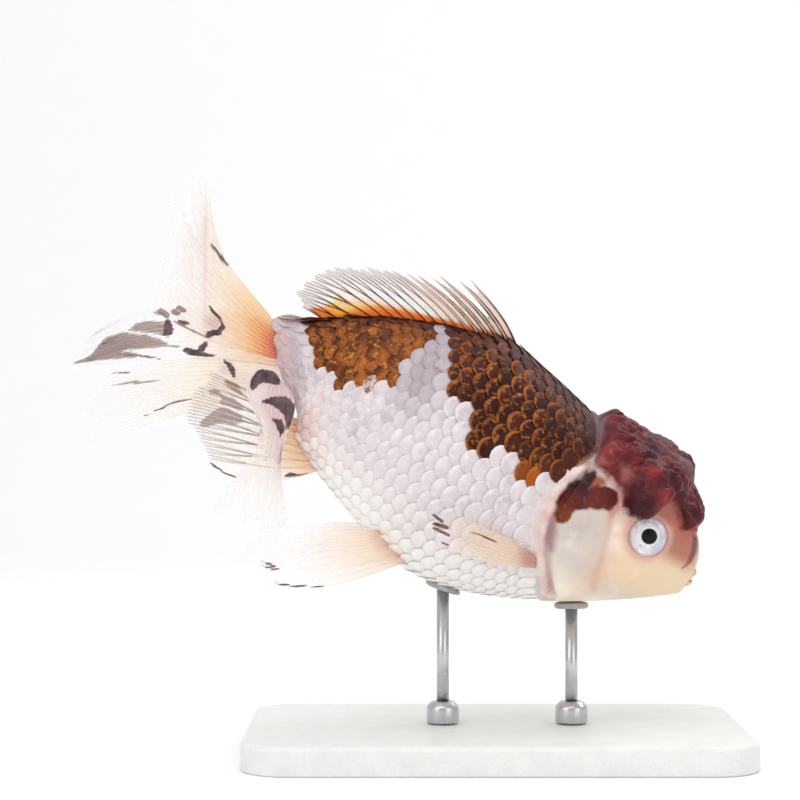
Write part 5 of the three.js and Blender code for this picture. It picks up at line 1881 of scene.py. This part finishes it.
def grained_finish(name, first, second, scale, roughness, strength, **sockets):
    """A plain finish with grain: two near colours, uneven roughness and a fine bump."""
    finish = Finish(name)
    grain, wide = finish.noise(scale, 4), finish.noise(scale / 12, 2)
    uneven = finish.fade(finish.sum(wide, grain, 0.5), -0.3, 0.3, roughness - 0.06, roughness + 0.08)
    finish.set(base_color=finish.blend(finish.fade(finish.sum(grain, wide, 0.8), -0.25, 0.25), first, second))
    finish.set(roughness=uneven, **sockets)
    finish.bump(grain, strength, 0.05 * MM)
    return finish.material


satin_paint = grained_finish("satin_pale_paint", (226, 226, 224), (234, 234, 232), 2600, 0.5, 0.12)
steel = grained_finish("brushed_steel", (196, 197, 199), (202, 203, 205), 3000, 0.3, 0.03, metallic=1)
felt = grained_finish("grey_felt", (150, 148, 146), (188, 186, 184), 4200, 0.9, 0.9, sheen_weight=0.3)
print("three stand finishes")

# %% [markdown]
# The plate has rounded corners and a bevelled edge, since a perfectly sharp edge never catches light. It is
# a loft of the same outline drawn in by different amounts: a small round at the foot, and a larger one on
# top.

# %% Stand plate
BASE_CORNER, BASE_BEVEL, FOOT_ROUND = 10, 1.2, 0.6


def rounded_plate(length, width, inset, level, steps=12):
    """The outline of a plate with rounded corners, drawn in by inset."""
    corner = BASE_CORNER - inset
    points = []
    for k, (x, y) in enumerate([(1, -1), (1, 1), (-1, 1), (-1, -1)]):
        for turn in np.linspace(-pi / 2, 0, steps) + k * pi / 2:
            points.append((x * (length / 2 - BASE_CORNER) + corner * cos(turn),
                           y * (width / 2 - BASE_CORNER) + corner * sin(turn), level))
    return np.array(points)


base_low, base_high = node_box("stand_base")
length, width = (base_high - base_low)[:2]
top = base_high[2]
plate_profile = [
    (0.9, 0), (FOOT_ROUND, 0),
    *[(FOOT_ROUND - FOOT_ROUND * sin(turn), FOOT_ROUND - FOOT_ROUND * cos(turn))
      for turn in np.linspace(0.3, pi / 2, 4)],
    *[(BASE_BEVEL * (1 - cos(turn)), top - BASE_BEVEL * (1 - sin(turn)))
      for turn in np.linspace(0, pi / 2, 8)],
    (BASE_BEVEL + 0.3, top),
]
plate_rings = [rounded_plate(length, width, inset, level) for inset, level in plate_profile]
plate_rings = [plate_rings[0] * [0.1, 0.1, 1], *plate_rings, plate_rings[-1] * [0.1, 0.1, 1]]
lofted("stand_plate", plate_rings, satin_paint, "stand_paint", "stand_base")

# %% [markdown]
# A rod ends in a felt pad that has to fit the belly. Rays are shot up from the floor against the skin, and
# every point of the pad goes to the height where its own ray hits, less the depth of the scales.

# %% Rods, collars and pads
belly = BVHTree.FromPolygons(to_world(skin_vertices).tolist(), skin_faces)
PAD_PROFILE = [
    (0.3, 1.2), (3.1, 1.2), (3.4, 1.1), (3.58, 0.85), (3.62, 0.55), (3.55, 0.25), (3.4, 0.08), (3.1, 0),
    (0.3, 0),
]


def belly_level(x, y):
    """The height of the scaled belly above a point of the floor, in millimetres."""
    hit = belly.ray_cast(Vector((x * MM, y * MM, 0)), Vector((0, 0, 1)))[0]
    return hit.z / MM - COAT_DEPTH + 0.1


def pad_ring(place, radius, drop):
    """A ring of a pad, drop millimetres below the belly at each of its points."""
    ring = circle(radius, 0, place)
    ring[:, 2] = [belly_level(x, y) - drop for x, y in ring[:, :2]]
    return ring


for word in ("rear", "front"):
    rod_low, rod_high = node_box("stand_rod_" + word)
    collar_low, collar_high = node_box("stand_collar_" + word)
    place = (rod_low + rod_high)[:2] / 2
    radius = (rod_high - rod_low)[0] / 2
    rod_top = belly_level(*place) - 1.0
    rod_profile = [(0.1, rod_low[2]), (radius, rod_low[2]), (radius, rod_top), (0.1, rod_top)]
    wide, low, high = (collar_high - collar_low)[0] / 2, collar_low[2], collar_high[2]
    collar_profile = [
        (0.2, low), (wide - 0.3, low), (wide - 0.08, low + 0.08), (wide, low + 0.3), (wide, high - 1.3),
        (wide - 0.06, high - 1.1), (wide - 0.2, high - 0.9), (wide - 0.9, high - 0.15),
        (wide - 1.1, high - 0.03), (wide - 1.3, high), (radius + 0.35, high), (radius + 0.2, high - 0.08),
        (radius + 0.12, high - 0.3), (0.2, high - 0.3),
    ]
    rod_rings = [circle(r, z, place) for r, z in rod_profile]
    collar_rings = [circle(r, z, place) for r, z in collar_profile]
    pad_rings = [pad_ring(place, r, drop) for r, drop in PAD_PROFILE]
    lofted("stand_pin_" + word, rod_rings, steel, "stand_steel", "stand_rod_" + word)
    lofted("stand_ring_" + word, collar_rings, steel, "stand_steel", "stand_collar_" + word)
    lofted("stand_felt_" + word, pad_rings, felt, "stand_felt", "stand_pad_" + word)

# %% [markdown]
# Every new piece now hides the frame nodes it stands for and is tied to the one body there is, so that it
# moves with it.

# %% Tie the pieces to the frame
for piece, slot_name, nodes in PIECES:
    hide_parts(*nodes)
    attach(piece, "root")
    print(piece.name, "stands for", nodes)
